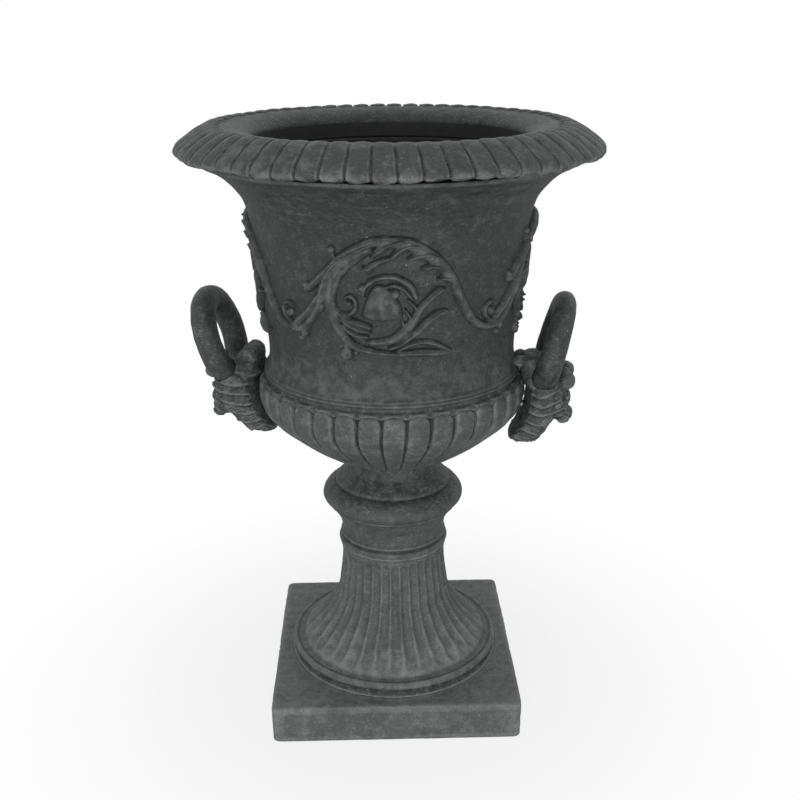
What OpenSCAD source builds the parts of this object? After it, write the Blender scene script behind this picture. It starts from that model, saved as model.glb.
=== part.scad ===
// Garden urn planter, cast in sections that stack on each other and are drawn
// together by one steel tie rod: plinth, fluted foot, socle, gadrooned bowl,
// bell with four applied scrolls, and a lobed lip. Two animal masks are bolted
// to the bowl, and each holds a ring handle with a steel core.
// Millimetres. The origin is the centre of the underside, Z is up and the
// front faces -Y.

/* [Overall] */
// Height from the underside to the crest of the lip
total_h = 717.5; // [640:0.5:820]
// Width of the rim over its lobes
rim_d = 476.2; // [420:0.2:540]
// Clear width of the mouth
mouth_d = 304.8; // [260:0.2:330]
// Radial clearance of a spigot in its socket
fit_gap = 0.5; // [0.2:0.1:1]

/* [Plinth] */
// Width of the square plinth
plinth_w = 304.8; // [280:0.2:360]
// Height of the plinth
plinth_h = 49; // [44:1:70]
// Radius of the plinth's upright corners
plinth_corner_r = 9; // [3:1:16]
// Worn bevel along the plinth's edges
plinth_edge = 3; // [1:0.5:5]

/* [Foot] */
// Radius of the round ring under the flutes
foot_ring_r = 133; // [128:1:138]
// Height of the ring
foot_ring_h = 18.5; // [12:0.5:24]
// Radius of the flutes' lower ends
flute_foot_r = 118; // [112:1:122]
// Radius of the foot's neck
foot_neck_r = 65; // [60:1:72]
// Height of the foot from the plinth to the collar's underside
foot_h = 155; // [130:1:180]
// Number of flutes
flute_count = 36; // [24:2:44]
// Depth of a flute
flute_depth = 2.6; // [1:0.1:4]
// Angle from the front to the middle of a flute
flute_turn = 0.6; // [-5:0.1:5]

/* [Socle] */
// Height of the socle from the collar's underside to the bowl
socle_h = 116; // [100:1:130]
// Greatest radius of the socle's torus
torus_r = 87.5; // [82:0.5:96]

/* [Bowl] */
// Height of the gadrooned bowl
bowl_h = 118; // [105:1:130]
// Greatest radius of the bowl over its gadroons
bowl_r = 159.5; // [152:0.5:170]
// Radius of the bowl's underside on the socle
bowl_foot_r = 55.5; // [53:0.5:62]
// Number of gadroons
gadroon_count = 36; // [24:2:44]
// Depth of the grooves between gadroons
gadroon_depth = 6.5; // [3:0.5:8]
// Angle from the front to the middle of a gadroon
gadroon_turn = -0.4; // [-5:0.1:5]
// Wall of the bowl and the bell
wall_t = 26; // [20:1:30]
// Thickness of the bowl's floor
floor_t = 30; // [24:1:36]

/* [Bell] */
// How far the bell's waist lies in from the bowl's widest line
waist_in = 14.5; // [12:0.5:20]
// How far the rim overhangs the bell's flared top edge
lip_overhang = 25; // [16:0.5:34]

/* [Lip] */
// Height of the lobed lip
lip_h = 36.5; // [30:0.5:44]
// Number of lobes around the lip
lobe_count = 60; // [40:2:72]
// Depth of the creases between lobes
lobe_depth = 3.6; // [1:0.2:5]
// Angle from the front to the middle of a lobe
lobe_turn = -2.4; // [-3:0.1:3]
// Height of the rounded slope from the mouth up to the lobes
bevel_h = 15.5; // [10:0.5:20]
// Width of the flat between that slope and the lobes
land_w = 2; // [1:0.5:4]

/* [Scrolls] */
// Number of applied scrolls around the bell
scroll_count = 4; // [4:1:4]
// Height of the scrolls' lower edge above the bell's bottom edge
scroll_low = 55; // [44:1:70]
// Distance from the scrolls' upper edge to the lip
scroll_gap = 64; // [52:1:76]
// How far a scroll stands out of the bell
scroll_t = 7; // [3:0.5:10]
// Angle from the front to the middle of a scroll
scroll_turn = -1.4; // [-5:0.1:5]

/* [Masks and rings] */
// Angle that the pair of handles is turned from the left-right line
handle_turn = 8.4; // [0:0.1:15]
// Height of a mask
mask_h = 109; // [96:1:116]
// Width of a mask across the bowl
mask_w = 88; // [76:1:100]
// How far a mask's front stands out from the bowl's widest line
mask_proud = 59.5; // [52:0.5:68]
// Height of a mask's lower tip above the bowl's underside
mask_rise = 26; // [20:1:30]
// Radius of a ring handle's centre line
ring_r = 46.5; // [44:0.5:52]
// Radius of the ring's own section
ring_tube_r = 15.5; // [11:0.5:16]
// Distance out from the bowl's widest line to the left ring's centre
ring_out_left = 49; // [44:0.5:54]
// Distance out from the bowl's widest line to the right ring's centre
ring_out_right = 32; // [31.5:0.5:45]
// Outward lean of the left ring
ring_lean_left = 17; // [5:0.5:20]
// Outward lean of the right ring
ring_lean_right = 15; // [5:0.5:20]
// Height of the left ring's centre above the bowl's underside
ring_rise = 144; // [138:0.5:150]
// How much higher the right ring sits
ring_lift_right = 3; // [0:0.5:5]
// Radius of the steel core in a ring
core_r = 4; // [2:0.5:6]

/* [Fixings] */
// Radius of the tie rod
rod_r = 6; // [4:0.5:8]
// Radius of the hollow that runs up through the pedestal
hollow_r = 34; // [31:0.5:36]
// Length of each spigot
spigot_l = 8; // [5:0.5:12]
// Wall of the foot's spigot in the plinth
foot_spigot_t = 16; // [10:1:20]
// Wall of the socle's spigot in the foot
socle_spigot_t = 10; // [8:1:14]
// Wall of the bowl's spigot in the socle
bowl_spigot_t = 11; // [8:1:14]
// Length of the strap under the foot
strap_l = 128; // [100:1:150]
// Width of the strap
strap_w = 32; // [24:1:40]
// Thickness of the strap
strap_t = 6; // [4:0.5:8]
// Radius of the rod's washers
washer_r = 14; // [11:0.5:16]
// Thickness of the rod's washers
washer_t = 2.5; // [1.5:0.5:4]
// Thickness of the gasket under the upper washer
gasket_t = 3; // [2:0.5:5]
// Radius of the rod's nuts over their corners
nut_r = 10.5; // [9:0.5:14]
// Thickness of the rod's nuts
nut_t = 11; // [6:0.5:13]
// Length of rod that shows past each nut
rod_end = 2.5; // [1:0.5:4]
// Radius of a drain hole in the bowl's floor
drain_r = 6; // [4:0.5:8]
// Radius of a mask bolt
bolt_r = 5; // [3:0.5:6]
// Radius of a mask bolt's head over its corners
bolt_head_r = 9; // [7:0.5:11]
// Thickness of that head
bolt_head_t = 6.5; // [4:0.5:8]
// Radius of a mask bolt's washer
mask_washer_r = 11; // [9:0.5:13]
// Thickness of that washer
mask_washer_t = 2; // [1:0.5:3]
// Radius of the round pad on which a mask sits
pad_r = 12; // [10:0.5:16]
// Depth of the pad in from the bowl's widest line
pad_depth = 12; // [10:0.5:16]
// Wall of the bowl left between the washer and the pad
seat_wall = 17; // [12:0.5:20]
// Length of bolt inside a mask
bolt_bite = 29; // [20:0.5:34]

/* [Hidden] */
$fn = 96;

// How far a cut runs past what it cuts
over = 2;
// Gap left between a piece and the curved wall that it lies against
seat_gap = 0.3;

// Heights of the beds between the castings
foot_z = plinth_h;
socle_z = foot_z + foot_h;
bowl_z = socle_z + socle_h;
bell_z = bowl_z + bowl_h;
lip_z = total_h - lip_h;
bell_h = lip_z - bell_z;

rim_r = rim_d / 2;
mouth_r = mouth_d / 2;
bell_top_r = rim_r - lip_overhang;
waist_r = bowl_r - waist_in;

// Spigots: outer radius at each bed
foot_spigot_r = hollow_r + foot_spigot_t;
socle_spigot_r = hollow_r + socle_spigot_t;
bowl_spigot_r = hollow_r + bowl_spigot_t;

stone_colour = "#4d5150";
stone_pale = "#5d615f";
steel_colour = "#9a9ea0";
rubber_colour = "#202122";

// The ring of points of one turn of a lobed wall. Each row of the profile is
// [radius, height, depth share]; the section gives the depth over one lobe.
function unit(v) = v / norm(v);
function row_normal(rows, i) =
    let (a = rows[max(i - 1, 0)], b = rows[min(i + 1, len(rows) - 1)],
         t = unit([b[0] - a[0], b[1] - a[1]]))
    (i == 0 || i == len(rows) - 1) ? [1, 0] : [t[1], -t[0]];
function lobed_points(rows, count, depth, section, turn) =
    let (k = len(section), n = count * k)
    [for (i = [0 : len(rows) - 1]) let (nv = row_normal(rows, i))
        for (j = [0 : n - 1])
            let (d = depth * rows[i][2] * section[j % k],
                 r = rows[i][0] - nv[0] * d, z = rows[i][1] - nv[1] * d,
                 a = 360 * (j / n) - 90 - 180 / count + turn)
            [r * cos(a), r * sin(a), z]];
// A closed skin over turns of n points each, one turn above the other
module loft(points, n) {
    turns = len(points) / n;
    polyhedron(points = points, convexity = 6, faces = concat(
        [[for (j = [0 : n - 1]) j]],
        [for (i = [0 : turns - 2]) for (j = [0 : n - 1])
            let (a = i * n + j, b = i * n + (j + 1) % n)
            each [[a, a + n, b + n], [a, b + n, b]]],
        [[for (j = [n - 1 : -1 : 0]) (turns - 1) * n + j]]));
}
module lobed_solid(rows, count, depth, section, turn) {
    loft(lobed_points(rows, count, depth, section, turn), count * len(section));
}
function scaled(shares, r, h, z) = [for (s = shares) [s[0] * r, z + s[1] * h]];
function scaled_rows(shares, r, h, z) =
    [for (s = shares) [s[0] * r, z + s[1] * h, s[2]]];
module turned(points) {
    rotate_extrude() polygon(points);
}

// Plinth

// Hollow under the plinth for the strap and the lower nut
recess_h = strap_t + washer_t + nut_t + 2 * rod_end;
recess_l = strap_l + 2 * fit_gap;
recess_w = strap_w + 2 * fit_gap;
// Width of the plinth's bevel as a share of its height
edge_slope = 0.7;

module plinth_block(w, h, edge, corner) {
    hull() {
        for (sx = [-1, 1]) for (sy = [-1, 1])
            translate([sx * (w / 2 - corner), sy * (w / 2 - corner), 0]) {
                translate([0, 0, edge])
                    cylinder(r = corner, h = h - 2 * edge, $fn = 32);
                cylinder(r = corner - edge * edge_slope, h = h, $fn = 32);
            }
    }
}

module plinth() {
    color(stone_pale)
    difference() {
        plinth_block(plinth_w, plinth_h, plinth_edge, plinth_corner_r);
        translate([0, 0, -over])
            cylinder(r = hollow_r, h = plinth_h + 2 * over);
        translate([0, 0, plinth_h - spigot_l - fit_gap])
            cylinder(r = foot_spigot_r + fit_gap, h = spigot_l + over);
        translate([-recess_l / 2, -recess_w / 2, -over])
            cube([recess_l, recess_w, recess_h + over]);
    }
}

// Fluted foot

ring_top = foot_z + foot_ring_h;
flute_zone_h = foot_h - foot_ring_h;
// Edge of the foot's ring, from the plinth up: distance in from the ring's
// radius and height, as shares of the ring's height
foot_ring_shares = [[0, 0], [0, 0.62], [0.1, 0.86], [0.3, 1]];
// Flare of the foot: the first number runs from the neck's radius to the
// flutes' lower ends, the second from the ring's top to the collar
flare_shares = [
    [1, 0, 0], [0.905, 0.062, 0.75], [0.735, 0.13, 1], [0.545, 0.208, 1],
    [0.36, 0.298, 1], [0.215, 0.395, 1], [0.115, 0.49, 1], [0.068, 0.62, 1],
    [0.02, 0.76, 0.9], [0, 0.88, 0.6], [0.015, 0.95, 0], [0.03, 1, 0]];
// Hollow of one flute, from one edge to the next
flute_section = [0, 0.9, 0.9];

module fluted_foot() {
    flare_w = flute_foot_r - foot_neck_r;
    rows = [for (s = flare_shares)
        [foot_neck_r + s[0] * flare_w, ring_top + s[1] * flute_zone_h, s[2]]];
    sunk = [[flute_foot_r, ring_top - foot_ring_h / 2, 0]];
    color(stone_pale)
    difference() {
        union() {
            lobed_solid(concat(sunk, rows), flute_count, flute_depth, flute_section, flute_turn);
            turned(concat(
                [[0, foot_z]],
                [for (s = foot_ring_shares)
                    [foot_ring_r - s[0] * foot_ring_h, foot_z + s[1] * foot_ring_h]],
                [[0, ring_top]]));
            translate([0, 0, foot_z - spigot_l])
                cylinder(r = foot_spigot_r, h = spigot_l + over);
        }
        translate([0, 0, foot_z - spigot_l - over])
            cylinder(r = hollow_r, h = foot_h + spigot_l + 2 * over);
        translate([0, 0, socle_z - spigot_l - fit_gap])
            cylinder(r = socle_spigot_r + fit_gap, h = spigot_l + fit_gap + over);
    }
}

// Socle: collar, hollow neck, torus, upper disc and throat, from the bottom up
socle_shares = [
    [0.77, 0], [0.783, 0.02], [0.79, 0.052], [0.772, 0.082], [0.766, 0.086],
    [0.77, 0.112], [0.752, 0.142], [0.738, 0.148],
    [0.74, 0.18], [0.752, 0.233], [0.766, 0.276], [0.789, 0.315],
    [0.817, 0.353], [0.857, 0.397], [0.897, 0.44], [0.92, 0.461],
    [0.926, 0.478], [0.954, 0.496], [0.986, 0.522], [1, 0.556],
    [0.99, 0.595], [0.954, 0.638], [0.903, 0.672], [0.846, 0.698],
    [0.815, 0.707], [0.81, 0.733], [0.789, 0.75], [0.743, 0.784],
    [0.691, 0.823], [0.651, 0.858], [0.634, 0.897], [0.629, 0.948],
    [0.634, 1]];

module socle() {
    color(stone_colour)
    difference() {
        union() {
            turned(concat(
                [[0, socle_z]],
                scaled(socle_shares, torus_r, socle_h, socle_z),
                [[0, bowl_z]]));
            translate([0, 0, socle_z - spigot_l])
                cylinder(r = socle_spigot_r, h = spigot_l + over);
        }
        translate([0, 0, socle_z - spigot_l - over])
            cylinder(r = hollow_r, h = socle_h + spigot_l + 2 * over);
        translate([0, 0, bowl_z - spigot_l - fit_gap])
            cylinder(r = bowl_spigot_r + fit_gap, h = spigot_l + fit_gap + over);
    }
}

// Gadrooned bowl

// Outside of the bowl from its underside to the bell: radius as a share of the
// greatest radius, height, and depth of the grooves
bowl_shares = [
    [0.464, 0.055, 0.6], [0.583, 0.14, 0.9], [0.708, 0.258, 1],
    [0.821, 0.381, 1], [0.915, 0.496, 1], [0.975, 0.602, 1], [1, 0.72, 1],
    [0.993, 0.83, 0.85], [0.969, 0.898, 0.4], [0.947, 0.932, 0],
    [0.944, 0.966, 0], [0.95, 1, 0]];
gadroon_section = [1, 0.2, 0, 0.2];
// Inside of the bowl: radius as a share of the bell's inner radius, and height
// above the floor as a share of the depth
inside_shares = [
    [0.4, 0], [0.62, 0.04], [0.8, 0.148], [0.93, 0.295], [1.01, 0.477],
    [1.04, 0.659], [1.03, 0.795], [1, 1]];
// The drain holes stand midway between the washer and the pedestal's hollow
drain_pitch_r = (hollow_r + washer_r) / 2;
drain_count = 3;

floor_z = bowl_z + floor_t;
bell_foot_r = bowl_r * bowl_shares[len(bowl_shares) - 1][0];
bell_inner_r = bell_foot_r - wall_t;
// The bell's and the lip's spigots take these shares of the wall
bell_spigot_share = 0.4;
lip_spigot_share = 0.6;
bell_spigot_r = bell_inner_r + wall_t * bell_spigot_share;

// Bolts that hold the masks, and the round pad on which a mask sits
bolt_share = 0.4;
bolt_z = bowl_z + mask_rise + mask_h * bolt_share;
pad_x = bowl_r - pad_depth;
bolt_seat = pad_x - seat_wall;
bolt_l = seat_wall + bolt_bite;

module at_handle(side) {
    rotate([0, 0, -handle_turn + (side < 0 ? 180 : 0)]) children();
}

module gadroon_bowl() {
    rows = concat([[bowl_foot_r, bowl_z, 0]],
        scaled_rows(bowl_shares, bowl_r, bowl_h, bowl_z));
    color(stone_pale)
    difference() {
        union() {
            lobed_solid(rows, gadroon_count, gadroon_depth, gadroon_section, gadroon_turn);
            translate([0, 0, bowl_z - spigot_l])
                cylinder(r = bowl_spigot_r, h = spigot_l + over);
        }
        turned(concat(
            [[0, floor_z]],
            scaled(inside_shares, bell_inner_r, bell_z - floor_z, floor_z),
            [[bell_inner_r, bell_z + over], [0, bell_z + over]]));
        translate([0, 0, bell_z - spigot_l - fit_gap])
            cylinder(r = bell_spigot_r + fit_gap, h = spigot_l + fit_gap + over);
        translate([0, 0, bowl_z - spigot_l - over])
            cylinder(r = rod_r + fit_gap, h = floor_t + spigot_l + 2 * over);
        for (i = [0 : drain_count - 1])
            rotate([0, 0, 360 * i / drain_count])
                translate([drain_pitch_r, 0, bowl_z - spigot_l - over])
                    cylinder(r = drain_r, h = floor_t + spigot_l + 2 * over, $fn = 48);
        for (side = [-1, 1]) at_handle(side) translate([0, 0, bolt_z]) rotate([0, 90, 0]) {
            cylinder(r = bolt_r + fit_gap, h = bowl_r + over, $fn = 48);
            cylinder(r = mask_washer_r + fit_gap, h = bolt_seat, $fn = 48);
            translate([0, 0, pad_x]) cylinder(r = pad_r + fit_gap, h = bowl_r, $fn = 48);
        }
    }
}

// Bell: outside from the bottom edge up, as shares of the way from the waist
// to the flared top edge, and of the height
bell_shares = [
    [0.066, 0], [0.066, 0.014], [0.037, 0.022], [0.01, 0.058], [0, 0.1],
    [0.002, 0.14], [0.016, 0.2], [0.052, 0.32], [0.094, 0.444],
    [0.136, 0.567], [0.166, 0.626], [0.197, 0.687], [0.232, 0.749],
    [0.29, 0.807], [0.353, 0.84], [0.444, 0.872], [0.537, 0.899],
    [0.66, 0.93], [0.779, 0.952], [0.897, 0.97], [1, 0.984], [1, 1]];
bell_outside = concat([[bell_foot_r, bell_z]],
    [for (s = bell_shares) if (s[1] > 0)
        [waist_r + s[0] * (bell_top_r - waist_r), bell_z + s[1] * bell_h]]);
function bell_r_at(z) = lookup(z, [for (p = bell_outside) [p[1], p[0]]]);
lip_spigot_r = mouth_r + wall_t * lip_spigot_share;

module bell() {
    inside = [for (i = [len(bell_outside) - 1 : -1 : 0])
        [min(mouth_r, bell_outside[i][0] - wall_t), bell_outside[i][1]]];
    color(stone_colour)
    union() {
        turned(concat(bell_outside, inside));
        translate([0, 0, lip_z - over]) difference() {
            cylinder(r = lip_spigot_r, h = spigot_l + over);
            translate([0, 0, -over]) cylinder(r = mouth_r, h = spigot_l + 3 * over);
        }
        translate([0, 0, bell_z - spigot_l]) difference() {
            cylinder(r = bell_spigot_r, h = spigot_l + over);
            translate([0, 0, -over]) cylinder(r = bell_inner_r, h = spigot_l + 3 * over);
        }
    }
}

// Lobed lip: outside from the lower edge over the crest to the lobes' inner
// ends, as shares of the way from the mouth to the rim and of the lip's height
lip_shares = [
    [0.86, 0, 0.7], [0.958, 0.09, 0.9], [1, 0.22, 1], [0.975, 0.38, 1],
    [0.894, 0.56, 1], [0.778, 0.76, 1], [0.628, 0.94, 0.9], [0.486, 1, 0.6],
    [0.37, 0.93, 0]];
lobe_section = [1, 0.12, 0.12];
lip_w = rim_r - mouth_r;
bevel_w = lip_shares[len(lip_shares) - 1][0] * lip_w - land_w;
// Slope inside the crest: outwards from the mouth, and up
bevel_shares = [[0, 0], [0.04, 0.26], [0.19, 0.53], [0.46, 0.78], [0.79, 0.94], [1, 1]];

module lip_ring() {
    rows = [for (s = lip_shares) [mouth_r + s[0] * lip_w, lip_z + s[1] * lip_h, s[2]]];
    cap_z = rows[len(rows) - 1][1];
    color(stone_pale)
    difference() {
        lobed_solid(rows, lobe_count, lobe_depth, lobe_section, lobe_turn);
        turned(concat(
            [[0, lip_z - over], [mouth_r, lip_z - over]],
            [for (s = bevel_shares)
                [mouth_r + s[0] * bevel_w, cap_z - bevel_h + s[1] * bevel_h]],
            [[mouth_r + bevel_w, cap_z + over], [0, cap_z + over]]));
        translate([0, 0, lip_z - over])
            cylinder(r = lip_spigot_r + fit_gap, h = spigot_l + fit_gap + over);
    }
}

// Applied scrolls. A strip follows a smooth path on the bell. A path's points
// are [x, z, half width]: x is a share of half the repeat, measured along the
// bell, z is a share of half the scroll's height, and the width is a share of
// the scroll's height.
scroll_h = bell_h - scroll_low - scroll_gap;
scroll_z = bell_z + scroll_low + scroll_h / 2;
scroll_span = 360 / scroll_count;
// A path bends in this many steps between two of its points
path_steps = 3;

function spline(p0, p1, p2, p3, t) =
    0.5 * (2 * p1 + (p2 - p0) * t + (2 * p0 - 5 * p1 + 4 * p2 - p3) * t * t
        + (3 * p1 - p0 - 3 * p2 + p3) * t * t * t);
function smooth_path(p) = let (m = len(p) - 1)
    [for (i = [0 : m - 1]) for (s = [0 : path_steps - 1])
        spline(p[max(i - 1, 0)], p[i], p[i + 1], p[min(i + 2, m)], s / path_steps),
        p[m]];
// A point of the bell's surface, some way along, up and out
function on_bell(x, z, out) = let (r = bell_r_at(z) + out, a = x / waist_r * 180 / PI - 90)
    [r * cos(a), r * sin(a), z];
half_repeat = waist_r * PI / scroll_count;

module strip(path, rise) {
    p = smooth_path([for (q = path)
        [q[0] * half_repeat, scroll_z + q[1] * scroll_h / 2, q[2] * scroll_h]]);
    m = len(p);
    // Across the strip from one edge over the crest to the other, and back:
    // share of the half width, and share of the rise
    section = [[-1, 0], [-0.8, 0.6], [0, 1], [0.8, 0.6], [1, 0], [0, 0]];
    loft([for (i = [0 : m - 1])
        let (a = p[max(i - 1, 0)], b = p[min(i + 1, m - 1)],
             d = unit([b[0] - a[0], b[1] - a[1]]), w = p[i][2])
        for (s = section)
            on_bell(p[i][0] + d[1] * w * s[0], p[i][1] - d[0] * w * s[0],
                seat_gap + s[1] * rise)],
        len(section));
}
// A small round end of a scroll
module ball(x, z, r) {
    reach = r * scroll_h / half_repeat * 0.9;
    strip([[x - reach, z, r * 0.45], [x, z, r], [x + reach, z, r * 0.45]], scroll_t);
}

vine_shares = [
    [-0.975, -0.72, 0.03], [-0.86, -0.64, 0.038], [-0.74, -0.34, 0.044],
    [-0.64, 0.02, 0.05], [-0.54, 0.36, 0.058], [-0.4, 0.64, 0.066],
    [-0.2, 0.82, 0.074], [0.04, 0.88, 0.08], [0.24, 0.8, 0.08],
    [0.42, 0.6, 0.074], [0.56, 0.3, 0.062], [0.68, -0.08, 0.05],
    [0.79, -0.46, 0.044], [0.885, -0.7, 0.038], [0.975, -0.76, 0.03]];
scroll_band_shares = [
    [-0.46, 0.2, 0.03], [-0.52, -0.1, 0.055], [-0.48, -0.42, 0.06],
    [-0.36, -0.68, 0.05], [-0.2, -0.77, 0.04], [0, -0.74, 0.03]];
frond_shares = [[0.04, -0.7, 0.022], [0.18, -0.56, 0.045], [0.28, -0.26, 0.05], [0.38, 0.08, 0.03]];
low_leaf_shares = [[-0.24, -0.93, 0.012], [-0.04, -0.97, 0.034], [0.2, -0.98, 0.05], [0.52, -1, 0.03]];
long_leaf_shares = [[0.2, -0.78, 0.016], [0.34, -0.62, 0.045], [0.5, -0.34, 0.02]];
short_leaf_shares = [[-0.4, -0.3, 0.03], [-0.3, -0.38, 0.055], [-0.17, -0.42, 0.05]];
bud_shares = [[-0.12, 0.14, 0.05], [-0.1, -0.06, 0.085], [-0.08, -0.3, 0.14]];
hood_shares = [[-0.27, 0.02, 0.02], [-0.18, 0.27, 0.026], [-0.04, 0.37, 0.028], [0.1, 0.3, 0.02]];
tongue_shares = [[-0.74, 0.16, 0.024], [-0.66, 0.44, 0.03], [-0.5, 0.74, 0.02]];
// Small round ends of the scrolls: place, radius as a share of the height
ball_shares = [[-0.36, 0.04, 0.05], [-0.44, -0.94, 0.05], [-0.86, -0.3, 0.05],
    [0.06, 0.12, 0.04]];

module scroll(index) {
    rotate([0, 0, index * scroll_span + scroll_turn]) {
        strip(vine_shares, scroll_t);
        strip(scroll_band_shares, scroll_t);
        strip(frond_shares, scroll_t);
        strip(low_leaf_shares, scroll_t);
        strip(long_leaf_shares, scroll_t);
        strip(short_leaf_shares, scroll_t);
        strip(bud_shares, scroll_t);
        strip(hood_shares, scroll_t);
        strip(tongue_shares, scroll_t * 0.8);
        for (b = ball_shares) ball(b[0], b[1], b[2]);
    }
}

module scroll_front() { color(stone_colour) scroll(0); }
module scroll_right() { color(stone_colour) scroll(1); }
module scroll_back() { color(stone_colour) scroll(2); }
module scroll_left() { color(stone_colour) scroll(3); }

// Masks. Rows from the lower tip up: share of the mask's height, radius of the
// back as a share of the bowl's, front as a share of the way from the bowl to
// the mask's reach, and half width as a share of the greatest
mask_shares = [
    [0, 0.94, 0.143, 0.27], [0.028, 0.897, 0.277, 0.48], [0.092, 0.89, 0.41, 0.7],
    [0.156, 0.922, 0.496, 0.78], [0.183, 0.934, 0.78, 0.82], [0.239, 0.953, 0.916, 0.875],
    [0.312, 0.976, 0.975, 0.93], [0.385, 0.993, 0.95, 0.96], [0.459, 1.006, 0.866, 0.98],
    [0.541, 1.008, 0.924, 1], [0.615, 1.008, 0.908, 0.99], [0.716, 1.003, 0.966, 0.9],
    [0.78, 0.985, 0.9, 0.78], [0.826, 0.985, 0.78, 0.68], [0.872, 0.955, 0.395, 0.62],
    [0.936, 0.985, 0.345, 0.6], [1, 1.03, 0.244, 0.4]];
// Hollows of the face: across and up in shares, their two spreads, and depth
face_shares = [
    [-0.36, 0.56, 0.13, 0.05, 6], [0.36, 0.56, 0.13, 0.05, 6],
    [-0.3, 0.43, 0.12, 0.05, 5], [0.3, 0.43, 0.12, 0.05, 5],
    [0, 0.65, 0.1, 0.05, 3], [0, 0.19, 0.42, 0.03, 5],
    [-0.72, 0.46, 0.1, 0.03, 4], [0.72, 0.46, 0.1, 0.03, 4],
    [-0.68, 0.34, 0.1, 0.03, 4], [0.68, 0.34, 0.1, 0.03, 4]];
function sum_of(v) = len(v) == 0 ? 0 : v * [for (i = v) 1];
function face_hollow(y, z) = sum_of([for (f = face_shares)
    f[4] * exp(-pow((y - f[0]) / f[2], 2) - pow((z - f[1]) / f[3], 2))]);
// Steps across a mask's front and back, and how square its section is
front_steps = 16;
back_steps = 4;
mask_squareness = 0.75;
mask_reach = bowl_r + mask_proud;
// The pad's root runs this far into the mask
pad_root = 20;
function mask_turn_points(row) =
    let (z = bowl_z + mask_rise + row[0] * mask_h, w = row[3] * mask_w / 2,
         back = row[1] * bowl_r, edge = sqrt(back * back - w * w),
         front = bowl_r + row[2] * (mask_reach - bowl_r))
    concat(
        [for (i = [0 : front_steps])
            let (a = -90 + 180 * i / front_steps,
                 y = sign(a) * pow(abs(sin(a)), mask_squareness),
                 x = pow(max(cos(a), 0), mask_squareness))
            [edge + x * (front - edge - face_hollow(y, row[0])), y * w, z]],
        [for (i = [1 : back_steps - 1])
            let (y = w * (1 - 2 * i / back_steps))
            [sqrt(back * back - y * y), y, z]]);

module torus(r) {
    rotate_extrude() translate([ring_r, 0]) circle(r = r);
}
module at_ring(side) {
    reach = bowl_r + (side < 0 ? ring_out_left : ring_out_right);
    lean = side < 0 ? ring_lean_left : ring_lean_right;
    lift = side < 0 ? 0 : ring_lift_right;
    at_handle(side)
        translate([reach, 0, bowl_z + ring_rise + lift]) rotate([0, 90 + lean, 0]) children();
}

module mask(side) {
    difference() {
        at_handle(side) union() {
            loft([for (row = mask_shares) each mask_turn_points(row)],
                front_steps + back_steps);
            translate([pad_x, 0, bolt_z]) rotate([0, 90, 0])
                cylinder(r = pad_r, h = pad_depth + pad_root, $fn = 48);
        }
        at_ring(side) torus(ring_tube_r + seat_gap / 2);
        at_handle(side) translate([0, 0, bolt_z]) rotate([0, 90, 0])
            cylinder(r = bolt_r, h = bolt_seat + bolt_l, $fn = 48);
    }
}
module mask_left() { color(stone_colour) mask(-1); }
module mask_right() { color(stone_colour) mask(1); }

// Ring handles, each round its steel core

module ring(side) {
    at_ring(side) difference() {
        torus(ring_tube_r);
        torus(core_r);
    }
}
module ring_left() { color(stone_pale) ring(-1); }
module ring_right() { color(stone_pale) ring(1); }
module ring_core_left() { color(steel_colour) at_ring(-1) torus(core_r); }
module ring_core_right() { color(steel_colour) at_ring(1) torus(core_r); }

module mask_bolts() {
    color(steel_colour)
    for (side = [-1, 1]) at_handle(side)
        translate([bolt_seat - mask_washer_t, 0, bolt_z]) rotate([0, 90, 0]) {
            translate([0, 0, -bolt_head_t])
                cylinder(r = bolt_head_r, h = bolt_head_t, $fn = 6);
            cylinder(r = bolt_r, h = bolt_l + mask_washer_t, $fn = 48);
        }
}
module mask_washers() {
    color(steel_colour)
    for (side = [-1, 1]) at_handle(side)
        translate([bolt_seat - mask_washer_t, 0, bolt_z]) rotate([0, 90, 0])
            difference() {
                cylinder(r = mask_washer_r, h = mask_washer_t, $fn = 48);
                translate([0, 0, -over])
                    cylinder(r = bolt_r, h = mask_washer_t + 2 * over, $fn = 48);
            }
}

// Tie rod and what it pulls together

strap_z = recess_h - strap_t;
top_washer_z = floor_z + gasket_t;

module rod_disc(r, z, h) {
    translate([0, 0, z]) difference() {
        cylinder(r = r, h = h, $fn = 64);
        translate([0, 0, -over]) cylinder(r = rod_r, h = h + 2 * over);
    }
}
module rod_nut(z) {
    translate([0, 0, z]) difference() {
        cylinder(r = nut_r, h = nut_t, $fn = 6);
        translate([0, 0, -over]) cylinder(r = rod_r, h = nut_t + 2 * over);
    }
}
module tie_rod() {
    low_end = strap_z - washer_t - nut_t - rod_end;
    color(steel_colour)
    translate([0, 0, low_end])
        cylinder(r = rod_r, h = top_washer_z + washer_t + nut_t + rod_end - low_end);
}
module rod_gasket() {
    color(rubber_colour) rod_disc(washer_r, floor_z, gasket_t);
}
module rod_washers() {
    color(steel_colour) {
        rod_disc(washer_r, top_washer_z, washer_t);
        rod_disc(washer_r, strap_z - washer_t, washer_t);
    }
}
module rod_nuts() {
    color(steel_colour) {
        rod_nut(top_washer_z + washer_t);
        rod_nut(strap_z - washer_t - nut_t);
    }
}
module foot_strap() {
    color(steel_colour)
    translate([0, 0, strap_z]) difference() {
        translate([-strap_l / 2, -strap_w / 2, 0]) cube([strap_l, strap_w, strap_t]);
        translate([0, 0, -over]) cylinder(r = rod_r, h = strap_t + 2 * over);
    }
}

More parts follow.
